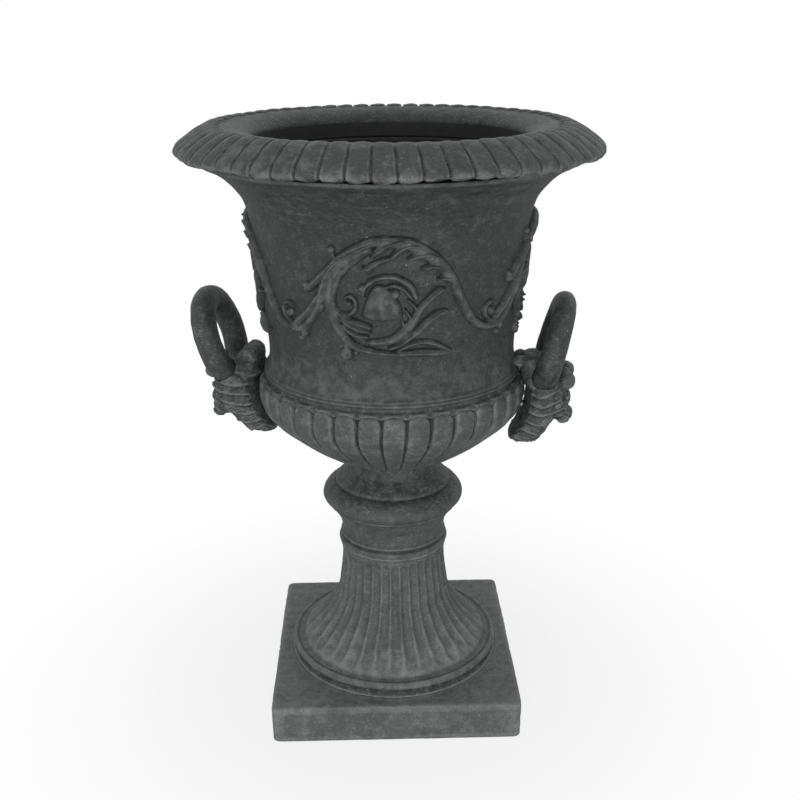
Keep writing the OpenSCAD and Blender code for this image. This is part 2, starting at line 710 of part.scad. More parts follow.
plinth();
fluted_foot();
socle();
gadroon_bowl();
bell();
lip_ring();
scroll_front();
scroll_right();
scroll_back();
scroll_left();
mask_left();
mask_right();
ring_left();
ring_right();
ring_core_left();
ring_core_right();
mask_bolts();
mask_washers();
tie_rod();
rod_gasket();
rod_washers();
rod_nuts();
foot_strap();
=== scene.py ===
import math
import bpy
import numpy as np
from mathutils import Matrix, Vector


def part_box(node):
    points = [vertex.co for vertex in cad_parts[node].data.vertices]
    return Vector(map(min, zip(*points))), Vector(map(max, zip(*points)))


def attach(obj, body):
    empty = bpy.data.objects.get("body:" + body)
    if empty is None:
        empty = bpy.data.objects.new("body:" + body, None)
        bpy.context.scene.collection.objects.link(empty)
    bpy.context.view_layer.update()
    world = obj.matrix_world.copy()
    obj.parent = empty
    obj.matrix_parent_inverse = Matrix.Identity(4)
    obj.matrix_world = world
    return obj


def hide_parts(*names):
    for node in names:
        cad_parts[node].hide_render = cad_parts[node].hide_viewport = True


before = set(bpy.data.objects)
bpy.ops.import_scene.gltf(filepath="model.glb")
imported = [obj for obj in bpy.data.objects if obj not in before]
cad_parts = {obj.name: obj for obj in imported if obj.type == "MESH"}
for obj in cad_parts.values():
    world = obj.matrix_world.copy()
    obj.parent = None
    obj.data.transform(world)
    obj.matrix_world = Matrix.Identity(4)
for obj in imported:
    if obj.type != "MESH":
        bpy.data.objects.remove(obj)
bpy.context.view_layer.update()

# A garden urn of dark charcoal cast stone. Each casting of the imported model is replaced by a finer
# skin of the same form, and the steel fixings and the rubber gasket keep their solids.

MM = 0.001
# Spacing of the skins' points, finer for a final picture
FINE = 1.0


# Measures taken from the frame, in millimetres

def box_mm(node):
    low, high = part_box(node)
    return np.array(low) / MM, np.array(high) / MM


def top_of(node):
    return box_mm(node)[1][2]


def half_width(node):
    low, high = box_mm(node)
    return (high[0] - low[0]) / 2


PLINTH_TOP = top_of("plinth")
FOOT_TOP = top_of("fluted_foot")
SOCLE_TOP = top_of("socle")
BOWL_TOP = top_of("gadroon_bowl")
BELL_TOP = box_mm("lip_ring")[0][2]
CREST = top_of("lip_ring")
PLINTH_HALF = half_width("plinth")
FOOT_RING_R = half_width("fluted_foot")
TORUS_R = half_width("socle")
BOWL_R = half_width("gadroon_bowl")
BELL_TOP_R = half_width("bell")
RIM_R = half_width("lip_ring")

# Sizes of the castings that the boxes don't give
HOLLOW_R = 34
ROD_HOLE_R = 6.5
MOUTH_R = 152.4
WALL = 26
WAIST_R = 145
FLUTES = 36
GADROONS = 36
LOBES = 60
SCROLLS = 4
FLOOR_T = 30
# A skin stays this far inside a bed that it meets
BED_GAP = 0.05


# Curves, skins and grain

def smooth_path(points, steps):
    """A smooth curve through the rows of points. A point given twice is a corner."""
    p = np.array(points, float)
    last = len(p) - 1
    t = np.linspace(0, 1, steps, endpoint=False)[:, None]
    rows = []
    for i in range(last):
        a, b, c, d = p[max(i - 1, 0)], p[i], p[i + 1], p[min(i + 2, last)]
        if np.allclose(b, c):
            continue
        if np.allclose(a, b):
            a = 2 * b - c
        if np.allclose(c, d):
            d = 2 * c - b
        rows.append(0.5 * (2 * b + (c - a) * t + (2 * a - 5 * b + 4 * c - d) * t ** 2
                           + (3 * b - a - 3 * c + d) * t ** 3))
    rows.append(p[last:])
    return np.vstack(rows)


def evenly(path, spacing):
    """The path again, with its points that far apart along its first two numbers."""
    steps = np.linalg.norm(np.diff(path[:, :2], axis=0), axis=1)
    along = np.concatenate([[0], np.cumsum(steps)])
    count = max(int(along[-1] / spacing), 1)
    at = np.linspace(0, along[-1], count + 1)
    return np.column_stack([np.interp(at, along, path[:, k]) for k in range(path.shape[1])])


def turns(count):
    """Angles of that many equal steps once round."""
    return 2 * math.pi * np.arange(count) / count


def noise(points, size, seed):
    """Smooth random values from -1 to 1, whose features are about that size."""
    q = points / size + seed * 7.31
    cell = np.floor(q).astype(np.int64)
    f = q - cell
    f = f * f * (3 - 2 * f)
    total = np.zeros(len(points))
    for corner in np.ndindex(2, 2, 2):
        key = cell + np.array(corner)
        h = (key[:, 0] * 73856093) ^ (key[:, 1] * 19349663) ^ (key[:, 2] * 83492791) ^ (seed * 2654435)
        h = (h ^ (h >> 13)) * 1274126177
        h = (h ^ (h >> 16)) & 0xFFFF
        weight = np.prod(np.where(np.array(corner) == 1, f, 1 - f), axis=1)
        total += weight * (h / 32767.5 - 1)
    return total


def noises(points, seed, *layers):
    """The sum of several noises, each given by its strength and the size of its features."""
    return sum(strength * noise(points, size, seed + k) for k, (strength, size) in enumerate(layers))


def cast_grain(points, seed):
    """How far the hand-finished cast surface lies from its mould, in millimetres."""
    return noises(points, seed, (0.45, 34), (0.22, 11), (0.12, 4.5))


def clip01(v):
    return np.clip(v, 0, 1)


def blend_step(low, high, v):
    t = clip01((v - low) / (high - low))
    return t * t * (3 - 2 * t)


def read_each(items, what, width=3, kind=np.float32):
    """A row of values for each vertex, edge or face."""
    values = np.empty(len(items) * width, kind)
    items.foreach_get(what, values)
    return values.reshape(-1, width)


def read_points(mesh, what="co"):
    return read_each(mesh.vertices, what).astype(float)


def move_points(mesh, points):
    mesh.vertices.foreach_set("co", (points * MM).astype(np.float32).ravel())
    mesh.update()


def set_rub_and_shade(mesh, rub_and_shade):
    layer = mesh.attributes.get("rub_and_shade") or mesh.attributes.new("rub_and_shade", "FLOAT", "POINT")
    layer.data.foreach_set("value", clip01(rub_and_shade).astype(np.float32))


def held_volume(mesh):
    """Volume that a closed skin holds, which is negative where it is inside out."""
    mesh.calc_loop_triangles()
    corners = read_each(mesh.loop_triangles, "vertices", kind=np.int32)
    a, b, c = read_points(mesh)[corners].transpose(1, 0, 2)
    return np.einsum("ij,ij->", a, np.cross(b, c)) / 6


def add_object(name, data):
    thing = bpy.data.objects.new(name, data)
    bpy.context.scene.collection.objects.link(thing)
    return thing


def make_piece(name, points, faces, rub_and_shade=None, flat=False):
    """A mesh object from points in millimetres. Its tone value is 0 in hollows, which are painted dark as
    shade, and 1 on scuffed pale edges.
    """
    mesh = bpy.data.meshes.new(name)
    mesh.from_pydata((np.asarray(points) * MM).tolist(), [], faces)
    if rub_and_shade is not None:
        set_rub_and_shade(mesh, rub_and_shade)
    mesh.polygons.foreach_set("use_smooth", [not flat] * len(mesh.polygons))
    if not flat and held_volume(mesh) < 0:
        mesh.flip_normals()
    mesh.update()
    return add_object(name, mesh)


def closed_faces(rows, columns):
    """Faces of a skin that closes both ways round."""
    i, j = np.meshgrid(np.arange(rows), np.arange(columns), indexing="ij")
    i2, j2 = (i + 1) % rows, (j + 1) % columns
    quads = np.stack([i * columns + j, i * columns + j2, i2 * columns + j2, i2 * columns + j], -1)
    return quads.reshape(-1, 4).tolist()


def capped_faces(rows, columns):
    """Faces of a skin that closes one way round and is capped at its first and last row."""
    quads = closed_faces(rows, columns)[:(rows - 1) * columns]
    caps = [list(range(columns))[::-1], [(rows - 1) * columns + j for j in range(columns)]]
    return quads + caps


def outline_normals(loop):
    """Outward normals of a closed outline whose points run up the outside and down the inside."""
    ahead = np.roll(loop[:, :2], -1, axis=0) - np.roll(loop[:, :2], 1, axis=0)
    ahead /= np.maximum(np.linalg.norm(ahead, axis=1), 1e-9)[:, None]
    return np.column_stack([ahead[:, 1], -ahead[:, 0]])


def relief_of(depth):
    """How far each point stands out from those beside it in its row."""
    smooth = depth
    for _ in range(7):
        smooth = (smooth + np.roll(smooth, 1, 1) + np.roll(smooth, -1, 1)) / 3
    return depth - smooth


def bends_of(loop):
    """How sharply an outline turns at each point, positive where it is convex."""
    ahead = np.roll(loop[:, :2], -1, axis=0) - loop[:, :2]
    ahead /= np.maximum(np.linalg.norm(ahead, axis=1), 1e-9)[:, None]
    behind = np.roll(ahead, 1, axis=0)
    bend = behind[:, 0] * ahead[:, 1] - behind[:, 1] * ahead[:, 0]
    return sum(np.roll(bend, k - 1) * w for k, w in enumerate((1, 2, 1))) / 4


def cast_ring(name, loop, columns, seed, lobes=None, rough=1.0, wear_and_shade=None):
    """A closed casting: loop holds [radius, height, lobe share, lobe end], once round its section.

    lobes is (count, depth, turn in degrees, section), where section gives the depth share at -0.5
    to 0.5 across a lobe. A lobe's end is 0 where it has its full width and 1 at its round nose."""
    loop = np.asarray(loop, float)
    shape = (len(loop), columns)
    normal = outline_normals(loop)
    angle = turns(columns) - math.pi / 2

    def spin(r, z):
        r, z = np.broadcast_to(r, shape), np.broadcast_to(z, shape)
        return np.dstack([r * np.cos(angle), r * np.sin(angle), z]).reshape(-1, 3)

    base = spin(loop[:, :1], loop[:, 1:2])
    depth = (cast_grain(base, seed) - 0.35).reshape(shape) * rough
    if lobes:
        count, deep, turn, section = lobes
        phase = ((angle + math.pi / 2 - math.radians(turn)) / (2 * math.pi) * count + 0.5) % count
        swell = 1 + 0.1 * np.random.default_rng(seed).standard_normal(count)[phase.astype(int) % count]
        sway = 0.05 * noise(np.column_stack([loop[:, 1] / 9, loop[:, 0] / 9, loop[:, 0] * 0]), 1, seed)
        across = (phase[None, :] + sway[:, None]) % 1 - 0.5
        depth = depth - deep * loop[:, 2:3] * section(across, loop[:, 3:4]) * swell
    points = spin(loop[:, :1] + normal[:, :1] * depth, loop[:, 1:2] + normal[:, 1:2] * depth)
    # Lobe grooves and inward bends get low values, which are painted shade; raised parts and convex bends
    # get high ones, scuffed pale
    rub_and_shade = (0.45 + 0.4 * relief_of(depth) + 0.7 * bends_of(loop)[:, None]).reshape(-1)
    # The extra term adds each casting's own tone changes; on the socle it is painted shade under the bowl
    if wear_and_shade is not None:
        rub_and_shade = rub_and_shade + wear_and_shade(base)
    return make_piece(name, points, closed_faces(*shape), rub_and_shade)


def apply_modifier(piece, kind, **settings):
    modifier = piece.modifiers.new("step", kind)
    for name, value in settings.items():
        setattr(modifier, name, value)
    bpy.context.view_layer.objects.active = piece
    bpy.ops.object.modifier_apply(modifier=modifier.name)


def cut_out(piece, points, faces):
    """Takes a closed shape out of the piece."""
    tool = make_piece("cutter", points, faces)
    apply_modifier(piece, "BOOLEAN", operation="DIFFERENCE", solver="MANIFOLD", object=tool)
    bpy.data.objects.remove(tool)


def tube_points(x, y, low, high, r, sides=32):
    angle = turns(sides)
    ring = np.column_stack([x + r * np.cos(angle), y + r * np.sin(angle)])
    rows = [np.column_stack([ring, np.full(sides, z)]) for z in (low, high)]
    return np.vstack(rows), capped_faces(2, sides)


def scaled(shares, radius, low, high):
    """Shares of a radius and of the height between two beds, as millimetres."""
    s = np.array(shares, float)
    s[:, 0] *= radius
    s[:, 1] = low + s[:, 1] * (high - low)
    return s


def section_loop(outside, inside, spacing):
    """A closed section: up the outside, over, and down the inside."""
    out = evenly(smooth_path(outside, 8), spacing)
    inner = evenly(smooth_path(inside, 8), spacing * 2)
    over = evenly(np.vstack([out[-1], inner[0]]), spacing * 2)[1:-1]
    under = evenly(np.vstack([inner[-1], out[0]]), spacing * 2)[1:-1]
    return np.vstack([out, over, inner, under])


def plain(points):
    """Rows of [radius, height] without lobes."""
    p = np.array(points, float)
    return np.column_stack([p, np.zeros((len(p), 2))])


# Castings

def make_plinth():
    """A square block with dented, chipped edges, hollow up the middle and recessed underneath."""
    corner_r, edge_r = 9, 3.5
    side = 100
    angle = np.linspace(-math.pi, math.pi, side * 4, endpoint=False)
    edge = []
    for a in np.linspace(0, math.pi / 2, 6):
        edge.append([edge_r * (1 - math.sin(a)), edge_r * (1 - math.cos(a))])
    up_side = [[0, z] for z in np.arange(edge_r + 3, PLINTH_TOP - edge_r - 2, 3)]
    top_edge = [[i, PLINTH_TOP - z] for i, z in edge[::-1]]
    flat_top = [[i, PLINTH_TOP] for i in np.arange(edge_r + 3, 116, 3.5)]
    hollow_side = [[PLINTH_HALF - HOLLOW_R, z] for z in np.linspace(PLINTH_TOP, 0, 9)]
    flat_low = [[i, 0] for i in np.arange(114, edge_r + 3, -8)]
    rows = edge + up_side + top_edge + flat_top + hollow_side + flat_low
    points, rub_and_shade = [], []
    for inset, z in rows:
        half = PLINTH_HALF - inset
        round_r = max(corner_r - inset * 0.5, 1)
        # A square with rounded corners, which turns into the round hollow
        power = 2 + 84 * (1 - blend_step(60, 118, inset)) * (half / PLINTH_HALF) / (1 + round_r / 12)
        reach = half / (np.abs(np.cos(angle)) ** power + np.abs(np.sin(angle)) ** power) ** (1 / power)
        level = np.full(len(angle), z)
        points.append(np.column_stack([reach * np.cos(angle), reach * np.sin(angle), level]))
        on_edge = math.exp(-((inset - 1.5) / 3) ** 2) * (1 if z < 8 or z > PLINTH_TOP - 8 else 0)
        near_corner = np.exp(-((np.minimum(np.abs(np.cos(2 * angle)), 1)) / 0.1) ** 2)
        mortar = 0.5 * np.exp(-((reach - FOOT_RING_R - 2) / 2.5) ** 2)
        on_top = (0.22 + mortar) * (z > PLINTH_TOP - 1)
        rub_and_shade.append(0.45 + 0.3 * on_edge + 0.3 * near_corner * (inset < 6) + on_top)
    points, rub_and_shade = np.vstack(points), np.concatenate(rub_and_shade)
    low = points[:, 2] < 0.5
    centre = np.array([0, 0, PLINTH_TOP / 2])
    inward = np.sign(centre - points)
    inward[low] = 0
    dent = 0.35 + noises(points, 3, (0.35, 40), (0.2, 9))
    chip = np.maximum(0, noise(points, 7, 5) - 0.35) * 2.2 * (rub_and_shade > 0.6)
    face_x = np.abs(points[:, 0]) > PLINTH_HALF - 12
    face_y = np.abs(points[:, 1]) > PLINTH_HALF - 12
    face_z = points[:, 2] > PLINTH_TOP - 4
    side_mask = np.column_stack([face_x, face_y, face_z])
    points = points + inward * side_mask * np.maximum(dent + chip, 0)[:, None]
    piece = make_piece("plinth_block", points, closed_faces(len(rows), len(angle)), rub_and_shade + 0.2 * dent)
    low_box, high_box = box_mm("foot_strap")
    gap = 0.5
    x, y, z = high_box[0] + gap, high_box[1] + gap, high_box[2]
    recess = [[sx * x, sy * y, h] for h in (-5, z) for sx, sy in ((-1, -1), (1, -1), (1, 1), (-1, 1))]
    cut_out(piece, recess, capped_faces(2, 4))
    return piece


def flute(across, end):
    """Depth across a flute: a shallow hollow between two narrow flat edges."""
    return np.maximum(0, 1 - np.hypot(2.25 * across, end) ** 2)


def make_foot():
    neck_r, skirt_r = 65, 118
    ring_h, ring_r = 18.5, FOOT_RING_R
    top = PLINTH_TOP + ring_h
    # A line of mortar, a rough recessed side, and a rounded edge round a sunk flat, each point as
    # far in from the ring's edge and up from the plinth
    edge = [[-0.9, BED_GAP], [-0.2, 1], [1.6, 1.8], [1.6, 1.8], [2.2, 5], [1.8, 9.5], [1.8, 9.5],
            [0.2, 11], [0, 13.5], [1, 16.1], [2.8, 17.9], [4.6, ring_h], [5.8, 17.9], [6.4, 17.1],
            [6.4, 17.1], [10, 17.2]]
    ring = [[ring_r - inset, PLINTH_TOP + up] for inset, up in edge]
    ring += [[skirt_r + 1, top - 0.8]] * 2
    shares = [[1.005, 0.002, 1, 1], [0.985, 0.02, 1, 0.92], [0.93, 0.05, 1, 0.62], [0.86, 0.08, 1, 0.28],
              [0.735, 0.13, 1, 0], [0.545, 0.208, 1, 0], [0.36, 0.298, 1, 0], [0.215, 0.395, 1, 0],
              [0.115, 0.49, 1, 0], [0.068, 0.62, 1, 0], [0.02, 0.76, 0.95, 0], [0, 0.87, 0.9, 0],
              [0.004, 0.905, 0.9, 0.5], [0.01, 0.932, 0.9, 0.9], [0.014, 0.945, 0.9, 1], [0.019, 0.95, 0, 0],
              [0.019, 0.957, 0, 0], [0.004, 0.963, 0, 0], [0.004, 0.968, 0, 0], [0.004, 0.968, 0, 0],
              [0.034, 0.974, 0, 0], [0.038, 0.985, 0, 0], [0.034, 1, 0, 0]]
    rise, flare = FOOT_TOP - BED_GAP - top, skirt_r - neck_r
    outside = plain(ring).tolist() + [[neck_r + a * flare, top + b * rise, c, d] for a, b, c, d in shares]
    inside = plain([[HOLLOW_R, FOOT_TOP - BED_GAP], [HOLLOW_R, PLINTH_TOP]])
    loop = section_loop(outside, inside, 1.7 * FINE)

    def wear_and_shade(points):
        r = np.hypot(points[:, 0], points[:, 1])
        side = r > ring_r - 3
        rough_side = side & (points[:, 2] < PLINTH_TOP + 10)
        mortar = side & (points[:, 2] < PLINTH_TOP + 1.9)
        skirt = 0.32 * blend_step(PLINTH_TOP + 70, PLINTH_TOP + 25, points[:, 2]) * (r < ring_r - 8)
        return np.where(rough_side, -0.5 + 0.4 * noise(points, 5, 9), skirt) + 1.1 * mortar

    columns = FLUTES * 20
    return cast_ring("fluted_foot_casting", loop, columns, 11, (FLUTES, 3.1, 0.6, flute), 0.8, wear_and_shade)


def make_socle():
    shares = [
        [0.766, 0], [0.779, 0.007], [0.786, 0.0215], [0.784, 0.039], [0.772, 0.055], [0.752, 0.063],
        [0.734, 0.069], [0.734, 0.069], [0.734, 0.079], [0.734, 0.079], [0.747, 0.086],
        [0.758, 0.096], [0.758, 0.11], [0.746, 0.121], [0.735, 0.128], [0.735, 0.128],
        [0.737, 0.15], [0.74, 0.18], [0.752, 0.233], [0.766, 0.276], [0.789, 0.315], [0.817, 0.353],
        [0.857, 0.397], [0.897, 0.435], [0.917, 0.452], [0.921, 0.462], [0.921, 0.462], [0.9, 0.468],
        [0.9, 0.468], [0.93, 0.476], [0.96, 0.496], [0.986, 0.522], [1, 0.556], [0.99, 0.595],
        [0.954, 0.638], [0.903, 0.672], [0.846, 0.695], [0.806, 0.7], [0.806, 0.7], [0.816, 0.715],
        [0.81, 0.733], [0.789, 0.752], [0.743, 0.784], [0.691, 0.823], [0.651, 0.858],
        [0.634, 0.897], [0.629, 0.948], [0.634, 1]]
    outside = plain(scaled(shares, TORUS_R, FOOT_TOP + BED_GAP, SOCLE_TOP - BED_GAP))
    inside = plain([[HOLLOW_R, SOCLE_TOP - BED_GAP], [HOLLOW_R, FOOT_TOP + BED_GAP]])
    loop = section_loop(outside, inside, 1.1 * FINE)

    def wear_and_shade(points):
        """Painted shade: the socle's top, under the bowl's overhang, is darkened."""
        return -0.28 * blend_step(SOCLE_TOP - 62, SOCLE_TOP - 36, points[:, 2])

    return cast_ring("socle_casting", loop, 480, 21, rough=0.9, wear_and_shade=wear_and_shade)


def gadroon(across, end):
    """Depth across a gadroon: a full round lobe with a narrow groove at each side."""
    u = np.minimum(np.hypot(2 * across, end), 1)
    return 0.5 * u ** 3 + 0.5 * blend_step(0.83, 1, u)


# Inside of the bowl, from the bell down to the floor
INSIDE_SHARES = [[1, 1], [1.03, 0.795], [1.04, 0.659], [1.01, 0.477], [0.93, 0.295],
                 [0.8, 0.148], [0.62, 0.04], [0.4, 0], [0.2, 0]]


def make_bowl():
    shares = [
        [0.35, 0, 0, 0], [0.395, 0.024, 0.15, 0], [0.464, 0.055, 0.3, 0], [0.583, 0.14, 0.48, 0],
        [0.708, 0.258, 0.62, 0], [0.821, 0.381, 0.74, 0], [0.915, 0.496, 0.86, 0], [0.975, 0.602, 0.96, 0],
        [1, 0.72, 1, 0], [1, 0.8, 1, 0.02], [0.999, 0.838, 1, 0.27], [0.996, 0.868, 1, 0.52],
        [0.991, 0.892, 1, 0.77], [0.987, 0.908, 1, 0.98], [0.985, 0.915, 1, 1.05], [0.941, 0.918, 0, 0],
        [0.941, 0.918, 0, 0], [0.936, 0.935, 0, 0], [0.937, 0.952, 0, 0], [0.943, 0.966, 0, 0],
        [0.953, 0.972, 0, 0], [0.953, 0.972, 0, 0], [0.954, 0.983, 0, 0], [0.946, 0.987, 0, 0],
        [0.946, 0.987, 0, 0], [0.946, 0.993, 0, 0], [0.952, 0.996, 0, 0], [0.952, 1, 0, 0]]
    outside = scaled(shares, BOWL_R, SOCLE_TOP + BED_GAP, BOWL_TOP - BED_GAP)
    floor = SOCLE_TOP + FLOOR_T
    inside = scaled(INSIDE_SHARES, BOWL_R * 0.95 - WALL, floor, BOWL_TOP)
    inside = np.vstack([inside, [ROD_HOLE_R, floor], [ROD_HOLE_R, floor], [ROD_HOLE_R, SOCLE_TOP],
                        [ROD_HOLE_R, SOCLE_TOP]])
    loop = section_loop(outside, plain(inside), 1.4 * FINE)
    columns = GADROONS * 24
    piece = cast_ring("gadroon_bowl_casting", loop, columns, 31, (GADROONS, 7.0, -0.4, gadroon), 0.8)
    drain_r, drain_pitch = 6, 24
    for a in turns(3):
        x, y = drain_pitch * math.cos(a), drain_pitch * math.sin(a)
        cut_out(piece, *tube_points(x, y, SOCLE_TOP - 9, floor + 9, drain_r))
    return piece


BELL_SHARES = [
    [0.09, 0], [0.095, 0.003], [0.094, 0.008], [0.084, 0.011], [0.072, 0.0125], [0.072, 0.0125],
    [0.06, 0.019], [0.044, 0.028], [0.024, 0.043], [0.008, 0.066], [0, 0.1],
    [0.002, 0.14], [0.016, 0.2], [0.052, 0.32], [0.094, 0.444], [0.136, 0.567], [0.166, 0.626],
    [0.197, 0.687], [0.232, 0.749], [0.29, 0.807], [0.353, 0.84], [0.444, 0.872], [0.537, 0.899],
    [0.66, 0.93], [0.779, 0.952], [0.897, 0.97], [1, 0.984], [1, 1]]


def bell_outside():
    rows = [[WAIST_R + s[0] * (BELL_TOP_R - WAIST_R), s[1]] for s in BELL_SHARES]
    height = BELL_TOP - BOWL_TOP
    return np.array([[r, BOWL_TOP + s * height] for r, s in rows])


def make_bell():
    outside = bell_outside()
    outside[0, 1] += BED_GAP
    outside[-1, 1] -= BED_GAP
    inside = [[min(MOUTH_R, r - WALL), z] for r, z in outside[::-1]]
    loop = section_loop(plain(outside), plain(inside), 1.6 * FINE)

    def wear_and_shade(points):
        """Trowel marks run round the flare, and the bell is paler towards its foot."""
        flare = blend_step(BELL_TOP - 75, BELL_TOP - 40, points[:, 2])
        foot = blend_step(BOWL_TOP + 55, BOWL_TOP + 8, points[:, 2])
        stretched = points * np.array([0.25, 0.25, 3])
        return (0.3 * flare * noise(stretched, 9, 44) + 0.1 * noise(points, 25, 45)
                + 0.3 * foot * (1 + noise(points, 7, 46)))

    return cast_ring("bell_casting", loop, 560, 41, rough=1.0, wear_and_shade=wear_and_shade)


def lip_lobe(across, end):
    """Depth across a lobe: nearly flat, with a narrow crease and a thin raised seam beside it."""
    u = np.minimum(np.hypot(2 * across, end), 1)
    seam = 0.22 * np.exp(-((2 * across - 0.76) / 0.08) ** 2) * (1 - clip01(end))
    return 0.5 * u ** 2 + 0.5 * blend_step(0.86, 1, u) + 0.2 * across - seam


def make_lip():
    shares = [
        [0.944, 0.004, 0.8, 0.75], [0.958, 0.022, 0.85, 0.55], [0.982, 0.075, 0.95, 0.3],
        [0.996, 0.14, 1, 0.1], [1, 0.22, 1, 0], [0.998, 0.29, 1, 0], [0.991, 0.38, 1, 0],
        [0.978, 0.47, 1, 0], [0.958, 0.57, 1, 0], [0.92, 0.745, 1, 0], [0.89, 0.86, 1, 0],
        [0.862, 0.945, 1, 0.05], [0.835, 0.99, 0.95, 0.25], [0.808, 1, 0.85, 0.55],
        [0.788, 0.985, 0.65, 0.85], [0.774, 0.95, 0.35, 1], [0.766, 0.925, 0, 1]]
    # The cast surface lies a little under its mould, so the mould's crest is that much higher
    mould_rise, rim_inset = 0.2, 0.1
    outside = scaled(shares, RIM_R - rim_inset, BELL_TOP + BED_GAP, CREST + mould_rise)
    slope_w, slope_h = 29.5, 15.5
    slope_top = outside[-1][1]
    slope = [[1, 1], [0.79, 0.95], [0.46, 0.79], [0.19, 0.54], [0.04, 0.26], [0, 0]]
    inside = [[MOUTH_R + w * slope_w, slope_top - slope_h + h * slope_h] for w, h in slope]
    inside += [[MOUTH_R, BELL_TOP + 6], [MOUTH_R, BELL_TOP]]
    out = evenly(smooth_path(outside, 8), 1.5 * FINE)
    inner = evenly(smooth_path(plain(inside), 8), 2.2 * FINE)
    under = evenly(np.vstack([inner[-1], out[0]]), 4 * FINE)[1:-1]
    loop = np.vstack([out, inner[1:], under])

    def wear_and_shade(points):
        """The lobes' lower ends are rubbed pale in patches, and the top and the slope stay dark."""
        low = blend_step(BELL_TOP + 14, BELL_TOP + 3, points[:, 2])
        slope = blend_step(205, 180, np.hypot(points[:, 0], points[:, 1]))
        return low * (0.2 + 0.6 * noise(points, 7, 52)) + 0.2 * noise(points, 10, 53) - 0.32 * slope

    # The lobes' lower ends broke away unevenly from the mould
    rough = 0.9 + 2.2 * blend_step(BELL_TOP + 12, BELL_TOP + 2, loop[:, 1:2]) * (loop[:, :1] > 200)
    columns = LOBES * 24
    return cast_ring("lip_casting", loop, columns, 51, (LOBES, 3.7, -2.4, lip_lobe), rough, wear_and_shade)


# Carving of the applied scrolls. A stroke is a list of [along, up, half width] in millimetres:
# along runs round the bell at a radius of 150 from the scroll's middle, and up is the height
# above the bell's bottom edge.

SCROLL_R = 150
SCROLL_TURN = math.radians(-1.4)
STEMS = {
    "arch": (6.5, [
        (-52, 160, 2.2), (-44, 165, 3), (-35, 170, 3.7), (-24, 175, 4.7), (-14, 178, 5.7), (-3, 178, 6.3),
        (7, 177, 6.7), (20, 174, 7), (30, 168, 7), (42, 160, 6.7), (52, 150, 6), (61, 139, 5.6),
        (67, 128, 5.3), (74, 115, 5), (81, 103, 5), (89, 91, 5), (99, 81, 4.8), (112, 76, 4.5),
        (125, 75, 4.4), (138, 80, 4.2), (148, 90, 4.2), (157, 103, 4.4), (165, 117, 4.6)]),
    "outer_band": (6.0, [
        (-21, 169, 5), (-34, 162, 7), (-46, 153, 7.7), (-56, 140, 7.7), (-61, 126, 7), (-63, 113, 6.7),
        (-62, 103, 6.3), (-59, 91, 6), (-53, 79, 5.7), (-45, 69, 5), (-32, 62, 4.3), (-20, 60, 3.7)]),
    "volute": (5.0, [
        (-58, 103, 4), (-51, 99, 3.4), (-43, 99, 3), (-36, 105, 2.7), (-35, 113, 2.4), (-39, 119, 2.3),
        (-45, 118, 2), (-46, 111, 1.8), (-43, 110, 1.3)]),
    "frond": (6.5, [
        (-23, 70, 3), (-13, 70, 4), (-1, 72, 4.8), (9, 77, 5.7), (17, 85, 6), (24, 93, 5.3),
        (29, 103, 4.6), (36, 112, 4), (44, 119, 3.8), (47, 123, 3)]),
    "hood": (6.5, [
        (-27, 121, 2), (-25, 129, 2.6), (-17, 137, 3), (-7, 141, 3), (4, 141, 3), (13, 137, 3.1),
        (21, 130, 3.4), (26, 119, 3)]),
    "inner_hood": (6.0, [(-3, 131, 1.6), (4, 132, 2.4), (12, 129, 2.6), (18, 123, 2.1), (22, 117, 1.3)]),
    "curl_stalk": (4.0, [(-56, 163, 1.6), (-53, 160, 2), (-47, 161, 2.1), (-40, 166, 2)]),
    "left_ball_stalk": (4.0, [(-89, 86, 1.6), (-94, 78, 2)]),
    "low_ball_stalk": (4.5, [(-48, 70, 2.8), (-47, 61, 3.2)]),
    "right_volute": (5.5, [
        (133, 77, 3), (124, 79, 2.6), (114, 84, 2.2), (108, 92, 2.1), (110, 100, 2), (118, 103, 1.8),
        (124, 99, 1.4)]),
}
